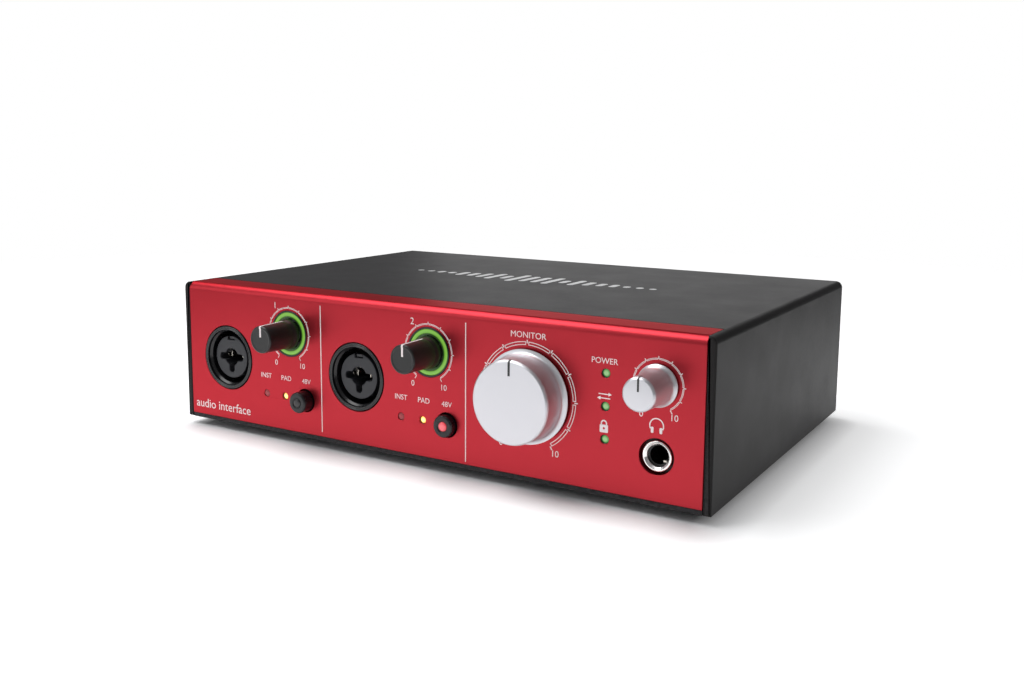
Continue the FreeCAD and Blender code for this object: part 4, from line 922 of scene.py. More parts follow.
@dataclass
class FrontShell:
    """The red front: a drilled plate whose brow turns back over the case as a lip."""

    brow: float = 2.9
    plate: float = 3.0
    lip: float = 1.9
    ease: float = 0.3
    end_ease: float = 0.15
    hole_ease: float = 0.2
    clearance: float = 0.05
    combo_hole: float = 12.0
    lamp_hole: float = 1.3
    status_hole: float = 1.4
    button_hole: float = 4.1
    bushing_hole: float = 3.6
    jack_hole: float = 5.45
    bezel_flange: float = 1.0
    section_steps: int = 8
    rim_steps: int = 3
    large_hole: float = 7.0
    large_sides: int = 96
    small_sides: int = 48

    def holes(self) -> list[tuple[float, float, float]]:
        """Where the holes are: across, up and radius."""
        bezel = span("halo_bezel_1")
        halo_hole = (bezel[1].x - bezel[0].x) / 2 - self.bezel_flange + self.clearance
        found = []
        for channel in CHANNELS:
            for node, radius in (
                (f"combo_housing_{channel}", self.combo_hole),
                (f"halo_bezel_{channel}", halo_hole),
                (f"phantom_button_{channel}", self.button_hole),
            ):
                spot = middle(node)
                found.append((spot.x, spot.z, radius))
        for node in ("instrument_lights", "mode_lights"):
            low, high = span(node)
            reach = (high.z - low.z) / 2
            up = (low.z + high.z) / 2
            found += [(low.x + reach, up, self.lamp_hole), (high.x - reach, up, self.lamp_hole)]
        for spot in Lights.status_spots():
            found.append((spot.x, spot.z, self.status_hole))
        for node, radius in (
            ("monitor_shaft", self.bushing_hole),
            ("headphone_shaft", self.bushing_hole),
            ("headphone_ferrule", self.jack_hole),
        ):
            spot = middle(node)
            found.append((spot.x, spot.z, radius))
        return found

    def form(self) -> Form:
        """The shell, as a section swept across the case and two drilled faces."""
        low, high = span("front_panel")
        deep = high.y - low.y
        corners = [
            (0, low.z, self.ease),
            (0, high.z, self.brow),
            (-deep, high.z, self.ease),
            (-deep, high.z - self.lip, self.ease),
            (-self.plate, high.z - self.lip, self.ease),
            (-self.plate, low.z, self.ease),
        ]
        section = facing(soften(corners, steps=self.section_steps), True)
        shrunk = inset(section, self.end_ease)
        form = Form()
        rings = []
        stations = [
            (low.x, shrunk),
            (low.x + self.end_ease, section),
            (high.x - self.end_ease, section),
            (high.x, shrunk),
        ]
        for across, outline in stations:
            start = len(form.points)
            form.points += [Vector((across, up, out)) for out, up in outline]
            rings.append(list(range(start, start + len(outline))))
        form.wall(rings[0], rings[1])
        form.wall(rings[2], rings[3])
        form.fill(rings[0])
        form.fill(rings[3])
        count = len(section)
        for number in range(count):
            after = (number + 1) % count
            along = Vector(section[after]) - Vector(section[number])
            flat = abs(along.x) < TINY and along.length > low.z + self.brow
            corners = [rings[1][number], rings[1][after], rings[2][after], rings[2][number]]
            if not flat:
                form.faces.append(corners)
            else:
                self.drill(form, corners, section[number][0])
        return form

    def drill(self, form: Form, corners: list[int], out: float) -> None:
        """Close one flat face round its holes. The front one also gets eased rims and the holes' walls."""
        outer = [form.points[number].to_2d() for number in corners]
        rim = form.ring([(point.x, point.y) for point in outer], out)
        inner = []
        for across, up, radius in self.holes():
            at_face = radius if out < 0 else radius + self.hole_ease
            ring = form.ring(circle(at_face, (across, up), self.sides(radius)), out)
            inner.append(ring)
            if out < 0:
                continue
            for step in range(1, self.rim_steps + 1):
                turn = math.pi / 2 * step / self.rim_steps
                wide = radius + self.hole_ease * (1 - math.sin(turn))
                deep = -self.hole_ease * (1 - math.cos(turn))
                following = form.ring(circle(wide, (across, up), self.sides(radius)), deep)
                form.wall(ring, following)
                ring = following
            form.wall(ring, form.ring(circle(radius, (across, up), self.sides(radius)), -self.plate))
        form.fill(rim, inner)

    def sides(self, radius: float) -> int:
        """How many edges a hole has."""
        return self.large_sides if radius > self.large_hole else self.small_sides

    def install(self, shop: Shop) -> None:
        """Put the shell on the case."""
        shop.install("front_shell", self.form(), front_at(), "anodised_red", CHASSIS, ["front_panel"])


@dataclass
class CoverShell:
    """The black cover: two cheeks and the top, notched in front for the red lip."""

    shoulder: float = 2.4
    top: float = 2.0
    side: float = 2.6
    inner_round: float = 1.0
    ease: float = 0.3
    cheek_ease: float = 0.7
    notch_gap: float = 0.1
    rear_ease: float = 0.21
    corner_steps: int = 6
    cheek_steps: int = 4

    def form(self) -> Form:
        """The cover, swept from front to back. Its frame is X right, Y up, Z to the front."""
        low, high = span("top_cover")
        half = high.x
        inner = half - self.side
        under = high.z - self.top
        corners = [
            (-inner, high.z),
            (inner, high.z),
            (half, high.z, self.shoulder),
            (half, low.z, self.ease),
            (inner, low.z, self.ease),
            (inner, under, self.inner_round),
            (-inner, under, self.inner_round),
            (-inner, low.z, self.ease),
            (-half, low.z, self.ease),
            (-half, high.z, self.shoulder),
        ]
        section = soften(corners, steps=self.corner_steps)
        form = Form()
        lip_back = FRONT - span("front_panel")[1].y - self.notch_gap
        back = FRONT - high.y
        closed = facing(section, True)
        turned = closed != section
        rear = form.ring(inset(closed, self.rear_ease)[:: -1 if turned else 1], back)
        near_rear = form.ring(section, back + self.ease)
        notch = form.ring(section, lip_back)
        form.fill(rear)
        form.wall(rear, near_rear)
        form.wall(near_rear, notch)
        count = len(section)
        for side in (1, -1):
            numbers = [number for number, point in enumerate(section) if point[0] * side >= inner - TINY]
            if side < 0:
                first = next(n for n in numbers if section[n][1] < high.z - 1 and n > count / 2)
                numbers = [n for n in numbers if n >= first] + [0]
            cheek = [section[number] for number in numbers]
            outline = facing(cheek, True)
            flip = -1 if outline != cheek else 1
            joint = [notch[number] for number in numbers]
            previous = joint
            for step in range(self.cheek_steps + 1):
                turn = math.pi / 2 * step / self.cheek_steps
                loop = inset(outline, self.cheek_ease * (1 - math.cos(turn)))[::flip]
                following = form.ring(loop, -self.cheek_ease * (1 - math.sin(turn)))
                form.wall(previous, following)
                previous = following
            form.faces.append(previous)
        across = [notch[0], notch[1]]
        under_part = [
            number
            for number, point in enumerate(section)
            if abs(point[0]) <= inner + TINY
            and under - self.inner_round - MERGE_BELOW <= point[1] <= under + MERGE_BELOW
        ]
        form.faces.append(across + [notch[number] for number in under_part])
        return form

    def install(self, shop: Shop) -> None:
        """Put the cover on the case."""
        shop.install("cover_shell", self.form(), front_at(), "case_black", CHASSIS, ["top_cover"])


@dataclass
class TopEmblem:
    """A plain row of level bars printed on the cover, which says nothing."""

    bars: int = 21
    pitch: float = 5.2
    width: float = 2.7
    tallest: float = 17.0
    setback: float = 79.0
    shortest: float = 0.35
    beat: float = 1.9
    phase: float = 0.6
    end_gap: float = 0.01

    def install(self, shop: Shop) -> None:
        """Print the bars."""
        form = Form()
        for number in range(self.bars):
            place = number - (self.bars - 1) / 2
            swell = math.cos(place / self.bars * math.pi) ** 2
            beat = abs(math.sin(self.beat * place + self.phase))
            tall = self.width + self.tallest * swell * (self.shortest + (1 - self.shortest) * beat)
            outline = rectangle(self.width, tall, self.width / 2 - self.end_gap, (place * self.pitch, 0))
            form.add(printed(outline))
        place = Matrix.Translation((0, FRONT + self.setback, CASE_TOP))
        shop.install("top_emblem", form, place, "emblem")


@dataclass
class Feet:
    """Four round rubber feet, each with a moulded rim and a recess."""

    recess: float = 3.2
    recess_depth: float = 1.5
    bore: float = 1.5
    taper: float = 0.7
    rim: float = 0.3
    bead: tuple[float, float, float] = (1.1, 0.9, 0.7)
    sides: int = 72

    def install(self, shop: Shop) -> None:
        """Put the feet under the case."""
        low, high = span("rubber_feet")
        radius = Feet.radius()
        tall = high.z - low.z
        outline = [
            (self.bore, 0),
            (self.bore, self.recess_depth - tall),
            (self.recess, self.recess_depth - tall, self.rim),
            (self.recess, -tall, self.rim),
            (radius - self.taper - self.bead[0], -tall, 0.2),
            (radius - self.taper - self.bead[1], self.rim - tall, 0.1),
            (radius - self.taper - self.bead[2], -tall, 0.2),
            (radius - self.taper, -tall, 0.5),
            (radius, 0),
        ]
        foot = spun(outline, self.sides, closed=True)
        form = Form()
        for across in (low.x + radius, high.x - radius):
            for back in (low.y + radius, high.y - radius):
                form.add(foot, Matrix.Translation((across, back, high.z)))
        shop.install("feet", form, Matrix.Identity(4), "rubber", CHASSIS, ["rubber_feet"])

    @staticmethod
    def radius() -> float:
        """The radius of a foot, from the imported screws, which share its middle."""
        return span("foot_screws")[0].x - span("rubber_feet")[0].x + SCREW_HEAD


# ---------------------------------------------------------------- channel strip


@dataclass
class ComboSocket:
    """Combined microphone and jack socket: glossy housing, grey core and metal contacts."""

    channel: int
    rim: float = 11.7
    mouth: float = 10.4
    groove: float = 9.7
    core: float = 7.9
    recess: float = 1.6
    deep: float = 24.0
    bore: float = 3.25
    slot_reach: float = 5.85
    slot_half: float = 1.25
    key_half: float = 1.7
    key_deep: float = 1.5
    stand: float = 0.2
    body_extra: float = 0.5
    flange: float = 13.2
    flange_back: float = 5.4
    bead: tuple[float, float, float, float] = (0.45, 0.55, 0.75, 0.85)
    bead_up: float = 0.08
    wall: float = 2.0
    slots: tuple[int, int, int] = (0, 180, 270)
    slot_steps: int = 12
    bore_step: float = 6.0
    outline_steps: int = 84
    core_long: float = 11.9
    pin_bore: float = 0.72
    pin: float = 1.02
    pin_mouth: float = 3.6
    pin_end: float = 12.0
    pin_gap: float = 0.1
    leaf_thick: float = 0.3
    leaf_end: float = 13.0
    floor: tuple[float, float] = (14.6, 14.1)

    def housing(self) -> Form:
        """The housing: flange, rim with a bead, and the well that the plug's shell goes into."""
        outline = [
            (0, -self.deep),
            (self.rim + self.body_extra, -self.deep, 0.3),
            (self.rim + self.body_extra, -self.flange_back),
            (self.flange, -self.flange_back),
            (self.flange, BEHIND_PLATE),
            (self.rim, BEHIND_PLATE),
            (self.rim, self.stand, 0.3),
            (self.rim - self.bead[0], self.stand, 0.12),
            (self.rim - self.bead[1], self.bead_up, 0.08),
            (self.rim - self.bead[2], self.bead_up, 0.08),
            (self.rim - self.bead[3], self.stand, 0.12),
            (self.mouth, self.stand, 0.25),
            (self.mouth, -self.recess / 2, 0.3),
            (self.groove, -self.recess, 0.2),
            (self.groove, self.wall - self.deep),
            (0, self.wall - self.deep),
        ]
        return spun(outline, 120)

    def opening(self) -> Loop:
        """The bore with a slot to the right, one to the left and one below."""
        points: Loop = []
        half = math.degrees(math.asin(self.slot_half / self.bore))
        last = self.slots[-1]
        for number, middle_turn in enumerate(self.slots):
            turn = math.radians(middle_turn)
            way = Vector((math.cos(turn), math.sin(turn)))
            off = Vector((-way.y, way.x))
            centre = way * (self.slot_reach - self.slot_half)
            for step in range(self.slot_steps + 1):
                bend = math.pi * step / self.slot_steps - math.pi / 2
                spot = centre + way * math.cos(bend) * self.slot_half + off * math.sin(bend) * self.slot_half
                points.append((spot.x, spot.y))
            following = self.slots[0] + 360 if middle_turn == last else self.slots[number + 1]
            start, end = middle_turn + half, following - half
            count = max(4, int((end - start) / self.bore_step))
            for step in range(count + 1):
                bend = math.radians(start + (end - start) * step / count)
                points.append((self.bore * math.cos(bend), self.bore * math.sin(bend)))
        return points

    def outline(self) -> Loop:
        """The round core with the notch for the plug's latch."""
        edge = math.degrees(math.asin(self.key_half / self.core))
        points: Loop = []
        for step in range(self.outline_steps + 1):
            turn = math.radians(edge + (360 - 2 * edge) * step / self.outline_steps)
            points.append((self.core * math.sin(turn), self.core * math.cos(turn)))
        inner = self.core - self.key_deep
        return points + [(-self.key_half, inner), (self.key_half, inner)]

    def core_form(self) -> Form:
        """The core, pierced for the plug and its three pins."""
        low = -self.recess - self.core_long
        return slab(self.outline(), [self.opening()], low, -self.recess, 0.28, 4)

    def contacts(self) -> Form:
        """Three rolled contacts in the slots, and the plug's springs at the sides of the bore and above it.
        """
        form = Form()
        mouth = -self.recess - self.pin_mouth
        rolled = [
            (self.pin_bore, -self.pin_end, 0.1),
            (self.pin, -self.pin_end, 0.1),
            (self.pin, mouth, 0.12),
            (self.pin_bore, mouth, 0.12),
        ]
        sleeve = spun(rolled, 32, closed=True)
        reach = self.slot_reach - self.slot_half - self.pin_gap
        for across, up in ((reach, 0), (-reach, 0), (0, -reach)):
            form.add(sleeve, Matrix.Translation((across, up, 0)))
        for side in (-1, 1):
            spring = rectangle(self.leaf_thick, 2.2, 0.08, (side * 2.75, 0.5))
            form.add(slab(spring, (), -self.leaf_end, -4.6, 0.04))
        spring = rectangle(2.0, self.leaf_thick, 0.08, (0, 2.8))
        return form.add(slab(spring, (), -self.leaf_end, -3.4, 0.04))

    def latch(self) -> Form:
        """The catch that shows in the notch."""
        return slab(rectangle(2.6, 1.0, 0.25, (0, self.core - 0.75)), (), -9, -self.recess - 0.5, 0.15)

    def well(self) -> Form:
        """The dark floor behind the core."""
        low, high = (-depth for depth in self.floor)
        reach = self.groove - 0.05
        return spun([(0, low), (reach, low), (reach, high), (0, high)], 72)

    def install(self, shop: Shop) -> None:
        """Put the socket in the panel."""
        number = self.channel
        place = front_of(f"combo_housing_{number}")
        for name, form, finish, nodes in (
            ("body", self.housing(), "socket_black", [f"combo_housing_{number}"]),
            ("core", self.core_form(), "insert_grey", [f"combo_insert_{number}"]),
            ("pins", self.contacts(), "contact_metal", [f"combo_contacts_{number}"]),
            ("latch", self.latch(), "insert_grey", []),
            ("well", self.well(), "socket_black", []),
        ):
            shop.install(f"combo_{name}_{number}", form, place, finish, CHASSIS, nodes)


@dataclass
class Pointer:
    """An inlaid line that runs across a knob's face and down its side."""

    path: Loop
    width: float
    lift: float = 0.04
    rows: int = 4
    sunk: float = 0.15
    flat_within: float = 2.5

    def form(self) -> Form:
        """A closed strip that follows the knob's outline."""
        top = self.layer(self.lift)
        under = self.layer(-self.sunk)
        form = Form()
        form.points = top + under
        length = len(self.path)
        across = self.rows + 1
        shift = len(top)
        for number in range(length - 1):
            for row in range(self.rows):
                a = number * across + row
                corners = [a, a + 1, a + across + 1, a + across]
                form.faces += [corners, [shift + corner for corner in reversed(corners)]]
            for edge in (number * across, number * across + self.rows):
                form.faces.append([edge, edge + across, shift + edge + across, shift + edge])
        for start in (0, (length - 1) * across):
            for row in range(self.rows):
                near, far = start + row, start + row + 1
                form.faces.append([near, far, shift + far, shift + near])
        return form

    def layer(self, lift: float) -> list[Vector]:
        """The points of the strip, that far off the knob's surface."""
        found = []
        for number, (radius, height) in enumerate(self.path):
            before = Vector(self.path[max(number - 1, 0)])
            after = Vector(self.path[min(number + 1, len(self.path) - 1)])
            way = (after - before).normalized()
            out = Vector((-way.y, way.x)) * lift
            for row in range(self.rows + 1):
                across = self.width * (row / self.rows - 0.5)
                far = radius + out.x
                curved = far if radius < self.flat_within * self.width else math.sqrt(far**2 - across**2)
                found.append(Vector((across, curved, height + out.y)))
        return found


@dataclass
class GainControl:
    """Gain knob in its ring of light."""

    channel: int
    skirt: float = 5.44
    foot: float = 4.95
    cap: float = 4.75
    halo_inner: float = 5.5
    halo_outer: float = 7.6
    bezel: float = 8.2
    pointer_width: float = 0.74
    gap: float = 0.5
    dish: float = 0.1
    dish_edge: float = 1.0
    crown_edge: float = 0.7
    shaft: float = 3.05
    cavity_top: float = 1.6
    waist: float = 3.0
    flare: tuple[float, float] = (1.7, 0.9)
    halo_step: tuple[float, float] = (0.65, 0.75)
    halo_sunk: tuple[float, float] = (0.02, 0.35)
    halo_deep: float = 3.3
    bezel_bore: float = 3.7
    bezel_flange: float = 9.2
    bezel_deep: float = 4.6
    bezel_stand: float = 0.16
    sides: int = 128

    def face(self, reach: float) -> list[Corner]:
        """The outline of the dished face, from the dish to the rim."""
        return [
            (self.cap - self.dish_edge, reach - self.dish, 0.6),
            (self.cap - self.crown_edge, reach, 0.3),
            (self.cap, reach, 0.55),
        ]

    def knob(self, reach: float) -> Form:
        """The knob, hollow underneath, with a dished face."""
        outline = [
            (0, reach - self.dish),
            *self.face(reach),
            (self.foot, self.waist, 0.6),
            (self.skirt - 0.08, self.flare[0], 0.4),
            (self.skirt, self.flare[1], 0.2),
            (self.skirt, self.gap, 0.1),
            (self.shaft, self.gap),
            (self.shaft, reach - self.cavity_top),
            (0, reach - self.cavity_top),
        ]
        return spun(outline, 112, 6)

    def pointer(self, reach: float) -> Form:
        """The white line."""
        corners = [(0.9, reach - self.dish), *self.face(reach), (self.foot, self.waist + 0.2)]
        return Pointer(soften(corners, False, 6), self.pointer_width).form()

    def install(self, shop: Shop) -> None:
        """Put the knob, its light and their bezel on the panel."""
        number = self.channel
        place = front_of(f"gain_knob_{number}")
        reach = FRONT - span(f"gain_knob_{number}")[0].y
        body = f"gain_{number}"
        knob = self.knob(reach)
        shop.install(f"gain_cap_{number}", knob, place, "knob_black", body, [f"gain_knob_{number}"])
        shop.install(f"gain_pointer_{number}", self.pointer(reach), place, "print_white", body)
        halo = [
            (self.halo_inner, -self.halo_deep),
            (self.halo_outer, -self.halo_deep),
            (self.halo_outer, -self.halo_sunk[0], 0.3),
            (self.halo_inner + self.halo_step[1], -self.halo_sunk[0], 0.15),
            (self.halo_inner + self.halo_step[0], -self.halo_sunk[1], 0.1),
            (self.halo_inner, -self.halo_sunk[1], 0.1),
        ]
        ring = spun(halo, self.sides, closed=True)
        shop.install(f"halo_{number}", ring, place, "halo_green", CHASSIS, [f"halo_ring_{number}"])
        bezel = [
            (self.bezel_bore, -self.bezel_deep),
            (self.bezel_flange, -self.bezel_deep),
            (self.bezel_flange, BEHIND_PLATE),
            (self.bezel, BEHIND_PLATE),
            (self.bezel, self.bezel_stand, 0.14),
            (self.halo_outer + 0.05, self.bezel_stand, 0.12),
            (self.halo_outer + 0.05, -3.4),
            (self.bezel_bore, -3.4),
        ]
        collar = spun(bezel, self.sides, closed=True)
        shop.install(f"halo_collar_{number}", collar, place, "bezel_black", CHASSIS, [f"halo_bezel_{number}"])


@dataclass
class PhantomButton:
    """Latching push button with a lens in its face."""

    channel: int
    cap: float = 3.7
    lens: float = 1.55
    stem: float = 1.6
    stem_long: float = 6.5
    edge: float = 0.75
    ring: tuple[float, float, float] = (0.55, 0.25, 0.05)
    ring_deep: float = 0.22
    seat: float = 1.2
    dome: float = 0.1

    def install(self, shop: Shop) -> None:
        """Put the button and its lens in the panel."""
        number = self.channel
        low, high = span(f"phantom_button_{number}")
        spot = middle(f"phantom_button_{number}")
        reach = FRONT - low.y
        back = FRONT - high.y
        outline = [
            (0, back),
            (self.stem, back, 0.2),
            (self.stem, back + self.stem_long),
            (self.cap, back + self.stem_long, 0.2),
            (self.cap, reach, self.edge),
            (self.lens + self.ring[0], reach, 0.15),
            (self.lens + self.ring[1], reach - self.ring_deep, 0.1),
            (self.lens + self.ring[2], reach - self.ring_deep, 0.05),
            (self.lens + self.ring[2], reach - self.seat),
            (0, reach - self.seat),
        ]
        place = front_at(spot.x, spot.z)
        body = f"phantom_{number}"
        cap = spun(outline, 96, 6)
        shop.install(f"push_cap_{number}", cap, place, "button_black", body, [f"phantom_button_{number}"])
        dome = [
            (0, reach - 1.15),
            (self.lens, reach - 1.15),
            (self.lens, reach - self.dome, 0.3),
            (self.lens * 0.55, reach + 0.08, 0.6),
            (0, reach + self.dome),
        ]
        finish = "lens_red" if number == 2 else "dark_lens"
        lens = spun(dome, 64)
        piece = shop.install(f"push_lens_{number}", lens, place, finish, body, [f"phantom_lens_{number}"])


@dataclass
class Lights:
    """Lamps in the panel: lit ones in a dark sleeve, and unlit ones that fill their holes."""

    radius: float = 1.15
    status_radius: float = 1.25
    hole: float = 1.3
    sink: float = 0.35
    status_hole: float = 1.4
    unlit_sink: float = 0.12
    long: float = 16.4
    sides: int = 56

    @staticmethod
    def status_spots() -> list[Vector]:
        """The middles of the three status lights."""
        low, high = span("status_lights")
        radius = (high.x - low.x) / 2
        across = (low.x + high.x) / 2
        bottom, top = low.z + radius, high.z - radius
        return [Vector((across, FRONT, bottom + (top - bottom) * step / 2)) for step in range(3)]

    def pipe(self, radius: float, sink: float) -> Form:
        """A light pipe with a domed end."""
        outline = [
            (0, -self.long),
            (radius, -self.long),
            (radius, -sink - sink * 1.2, 0.2),
            (radius * 0.55, -sink - 0.06, radius * 0.4),
            (0, -sink),
        ]
        return spun(outline, self.sides, 6)

    def sleeve(self, radius: float, hole: float) -> Form:
        """The dark collar between the pipe and the hole."""
        outline = [
            (radius + 0.01, -self.long),
            (hole - 0.01, -self.long),
            (hole - 0.01, -0.28, 0.03),
            (radius + 0.01, -0.42, 0.03),
        ]
        return spun(outline, self.sides, closed=True)

    def install(self, shop: Shop) -> None:
        """Put every lamp in its hole."""
        for node, finish, label in (
            ("instrument_lights", "lamp_red", "instrument"),
            ("mode_lights", "lamp_amber", "mode"),
        ):
            low, high = span(node)
            reach = (high.z - low.z) / 2
            for channel, across in zip(CHANNELS, (low.x + reach, high.x - reach)):
                place = front_at(across, low.z + reach)
                lit = node == "mode_lights"
                radius, sink = (self.radius, self.sink) if lit else (self.hole - 0.02, self.unlit_sink)
                pipe = self.pipe(radius, sink)
                shop.install(f"{label}_lamp_{channel}", pipe, place, finish, CHASSIS, [node])
                if lit:
                    sleeve = self.sleeve(self.radius, self.hole)
                    shop.install(f"{label}_sleeve_{channel}", sleeve, place, "bezel_black")
        for number, spot in enumerate(self.status_spots(), start=1):
            place = front_at(spot.x, spot.z)
            pipe = self.pipe(self.status_radius, self.sink)
            shop.install(f"status_lamp_{number}", pipe, place, "lamp_green", CHASSIS, ["status_lights"])
            sleeve = self.sleeve(self.status_radius, self.status_hole)
            shop.install(f"status_sleeve_{number}", sleeve, place, "bezel_black")


# ---------------------------------------------------------------- monitor and headphone side


@dataclass
class TurnedKnob:
    """A turned aluminium knob with a flared foot and a black pointer."""

    node: str
    name: str
    body: str
    cap: float
    foot: float
    skirt: float
    gap: float
    rise: float
    flare_top: float
    hollow: float
    pointer_from: float
    pointer_width: float
    pointer_down: float
    flare_steps: int = 12
    face_edge: float = 0.55
    step_in: float = 0.12
    step_at: tuple[float, float, float] = (0.42, 0.72, 0.86)
    skirt_wall: float = 0.9
    cavity_wall: float = 1.6
    cavity_top: float = 2.6
    shaft: float = 3.02
    shaft_top: float = 2.0

    def face(self, reach: float) -> list[Corner]:
        """The outline of the face's edge and the fine step below it."""
        return [
            (self.cap - self.face_edge, reach, 0.08),
            (self.cap - self.step_in, reach - self.step_at[0], 0.10),
            (self.cap - self.step_in, reach - self.step_at[1], 0.06),
            (self.cap, reach - self.step_at[2], 0.08),
        ]

    def flare(self) -> Loop:
        """The hollow curve from the skirt's rim up to the foot."""
        start = Vector((self.skirt, self.gap + self.rise))
        end = Vector((self.foot, self.flare_top))
        chord = end - start
        off = Vector((-chord.y, chord.x)).normalized()
        bow = self.hollow * chord.length
        points = []
        for step in range(self.flare_steps + 1):
            share = step / self.flare_steps
            spot = start + chord * share + off * (4 * share * (1 - share) * bow)
            points.append((spot.x, spot.y))
        return points

    def outline(self, reach: float) -> list[Corner]:
        """The outline from the middle of the face out, down and under."""
        return [
            (0, reach),
            *self.face(reach),
            *self.flare()[::-1],
            (self.skirt, self.gap, 0.1),
            (self.skirt - self.skirt_wall, self.gap, 0.1),
            (self.cap - self.cavity_wall, self.gap),
            (self.cap - self.cavity_wall, reach - self.cavity_top),
            (self.shaft, reach - self.cavity_top),
            (self.shaft, reach - self.shaft_top),
            (0, reach - self.shaft_top),
        ]

    def install(self, shop: Shop) -> None:
        """Put the knob on its shaft."""
        place = front_of(self.node)
        reach = FRONT - span(self.node)[0].y
        form = spun(self.outline(reach), 160, 4)
        shop.install(self.name, form, place, "knob_silver", self.body, [self.node])
        path = [(self.pointer_from, reach), *self.face(reach), (self.cap, reach - self.pointer_down)]
        pointer = Pointer(soften(path, False, 4), self.pointer_width, lift=0.03)
        shop.install(self.name + "_pointer", pointer.form(), place, "print_black", self.body)


@dataclass
class HeadphoneSocket:
    """Chromed ferrule in a dark gap, with the plug's springs behind it."""

    ferrule: float = 4.65
    bore: float = 3.25
    recess: float = 0.5
    long: float = 8.8
    shroud: float = 6.4
    shroud_deep: float = 4.4
    liner: tuple[float, float] = (0.02, 0.45)
    liner_span: tuple[float, float] = (9.2, 2.2)
    spring_at: tuple[float, float] = (2.2, -1.35)

    def install(self, shop: Shop) -> None:
        """Put the socket in the panel."""
        place = front_of("headphone_ferrule")
        outline = [
            (self.bore, -self.recess - self.long),
            (self.ferrule, -self.recess - self.long),
            (self.ferrule, -self.recess, 0.5),
            (self.bore + 0.75, -self.recess + 0.1, 0.15),
            (self.bore + 0.1, -self.recess - 0.45, 0.1),
            (self.bore, -self.recess - 0.6, 0.05),
        ]
        collar = spun(outline, 112, 6, True)
        shop.install("headphone_collar", collar, place, "chrome", CHASSIS, ["headphone_ferrule"])
        inner, back = self.ferrule + 0.03, -self.shroud_deep
        shroud = [(inner, back), (self.shroud, back), (self.shroud, BEHIND_PLATE), (inner, BEHIND_PLATE)]
        shop.install("headphone_shroud", spun(shroud, 72, closed=True), place, "connector_black")
        far, near = (self.bore - part for part in self.liner)
        deep, mouth = (-part for part in self.liner_span)
        tube = [(far, deep), (near, deep), (near, mouth, 0.1), (far, mouth)]
        shop.install("headphone_liner", spun(tube, 72, closed=True), place, "socket_black")
        leaf = slab(rectangle(1.0, 0.6, 0.12, self.spring_at), (), -6.0, -1.4, 0.1)
        shop.install("headphone_spring", leaf, place, "contact_metal")


# ---------------------------------------------------------------- print


@dataclass
class Scale:
    """A printed ring scale round a knob."""

    node: str
    name: str
    outer: float
    deep: float
    line: float
    tick: float
    numbers: Sequence[tuple[str, float, float]]
    tall: float
    segments: int = 10
    sweep: float = 150.0
    parting: float = 3.0
    outlined_from: float = 2.6
    tick_start: tuple[float, float] = (0.5, 0.2)
    tick_longer: tuple[float, float] = (1.0, 2.0)
    tick_width: float = 1.5

    def form(self) -> Form:
        """Outlined bands with a tick between each pair, long end ticks and the numbers."""
        form = Form()
        pitch = 2 * self.sweep / self.segments
        for number in range(self.segments):
            start = -self.sweep + number * pitch + self.parting / 2
            end = start + pitch - self.parting
            outer = band(self.outer - self.deep, self.outer, start, end)
            trim = math.degrees(self.line / self.outer)
            near, far = self.outer - self.deep + self.line, self.outer - self.line
            outlined = self.deep > self.outlined_from * self.line
            form.add(printed(outer, [band(near, far, start + trim, end - trim)] if outlined else ()))
        for number in range(self.segments + 1):
            at_end = number in (0, self.segments)
            turn = math.radians(-self.sweep + number * pitch)
            near = self.outer - self.deep * self.tick_start[at_end]
            far = self.outer + self.tick * self.tick_longer[at_end]
            way = (math.sin(turn), math.cos(turn))
            path = [(way[0] * near, way[1] * near), (way[0] * far, way[1] * far)]
            form.add(printed(stroke(path, self.line * self.tick_width)))
        for words, across, up in self.numbers:
            form.add(printed_words(words, self.tall, (across, up)))
        return form

    def install(self, shop: Shop) -> None:
        """Print the scale."""
        shop.install(self.name, self.form(), front_of(self.node), "print_white")


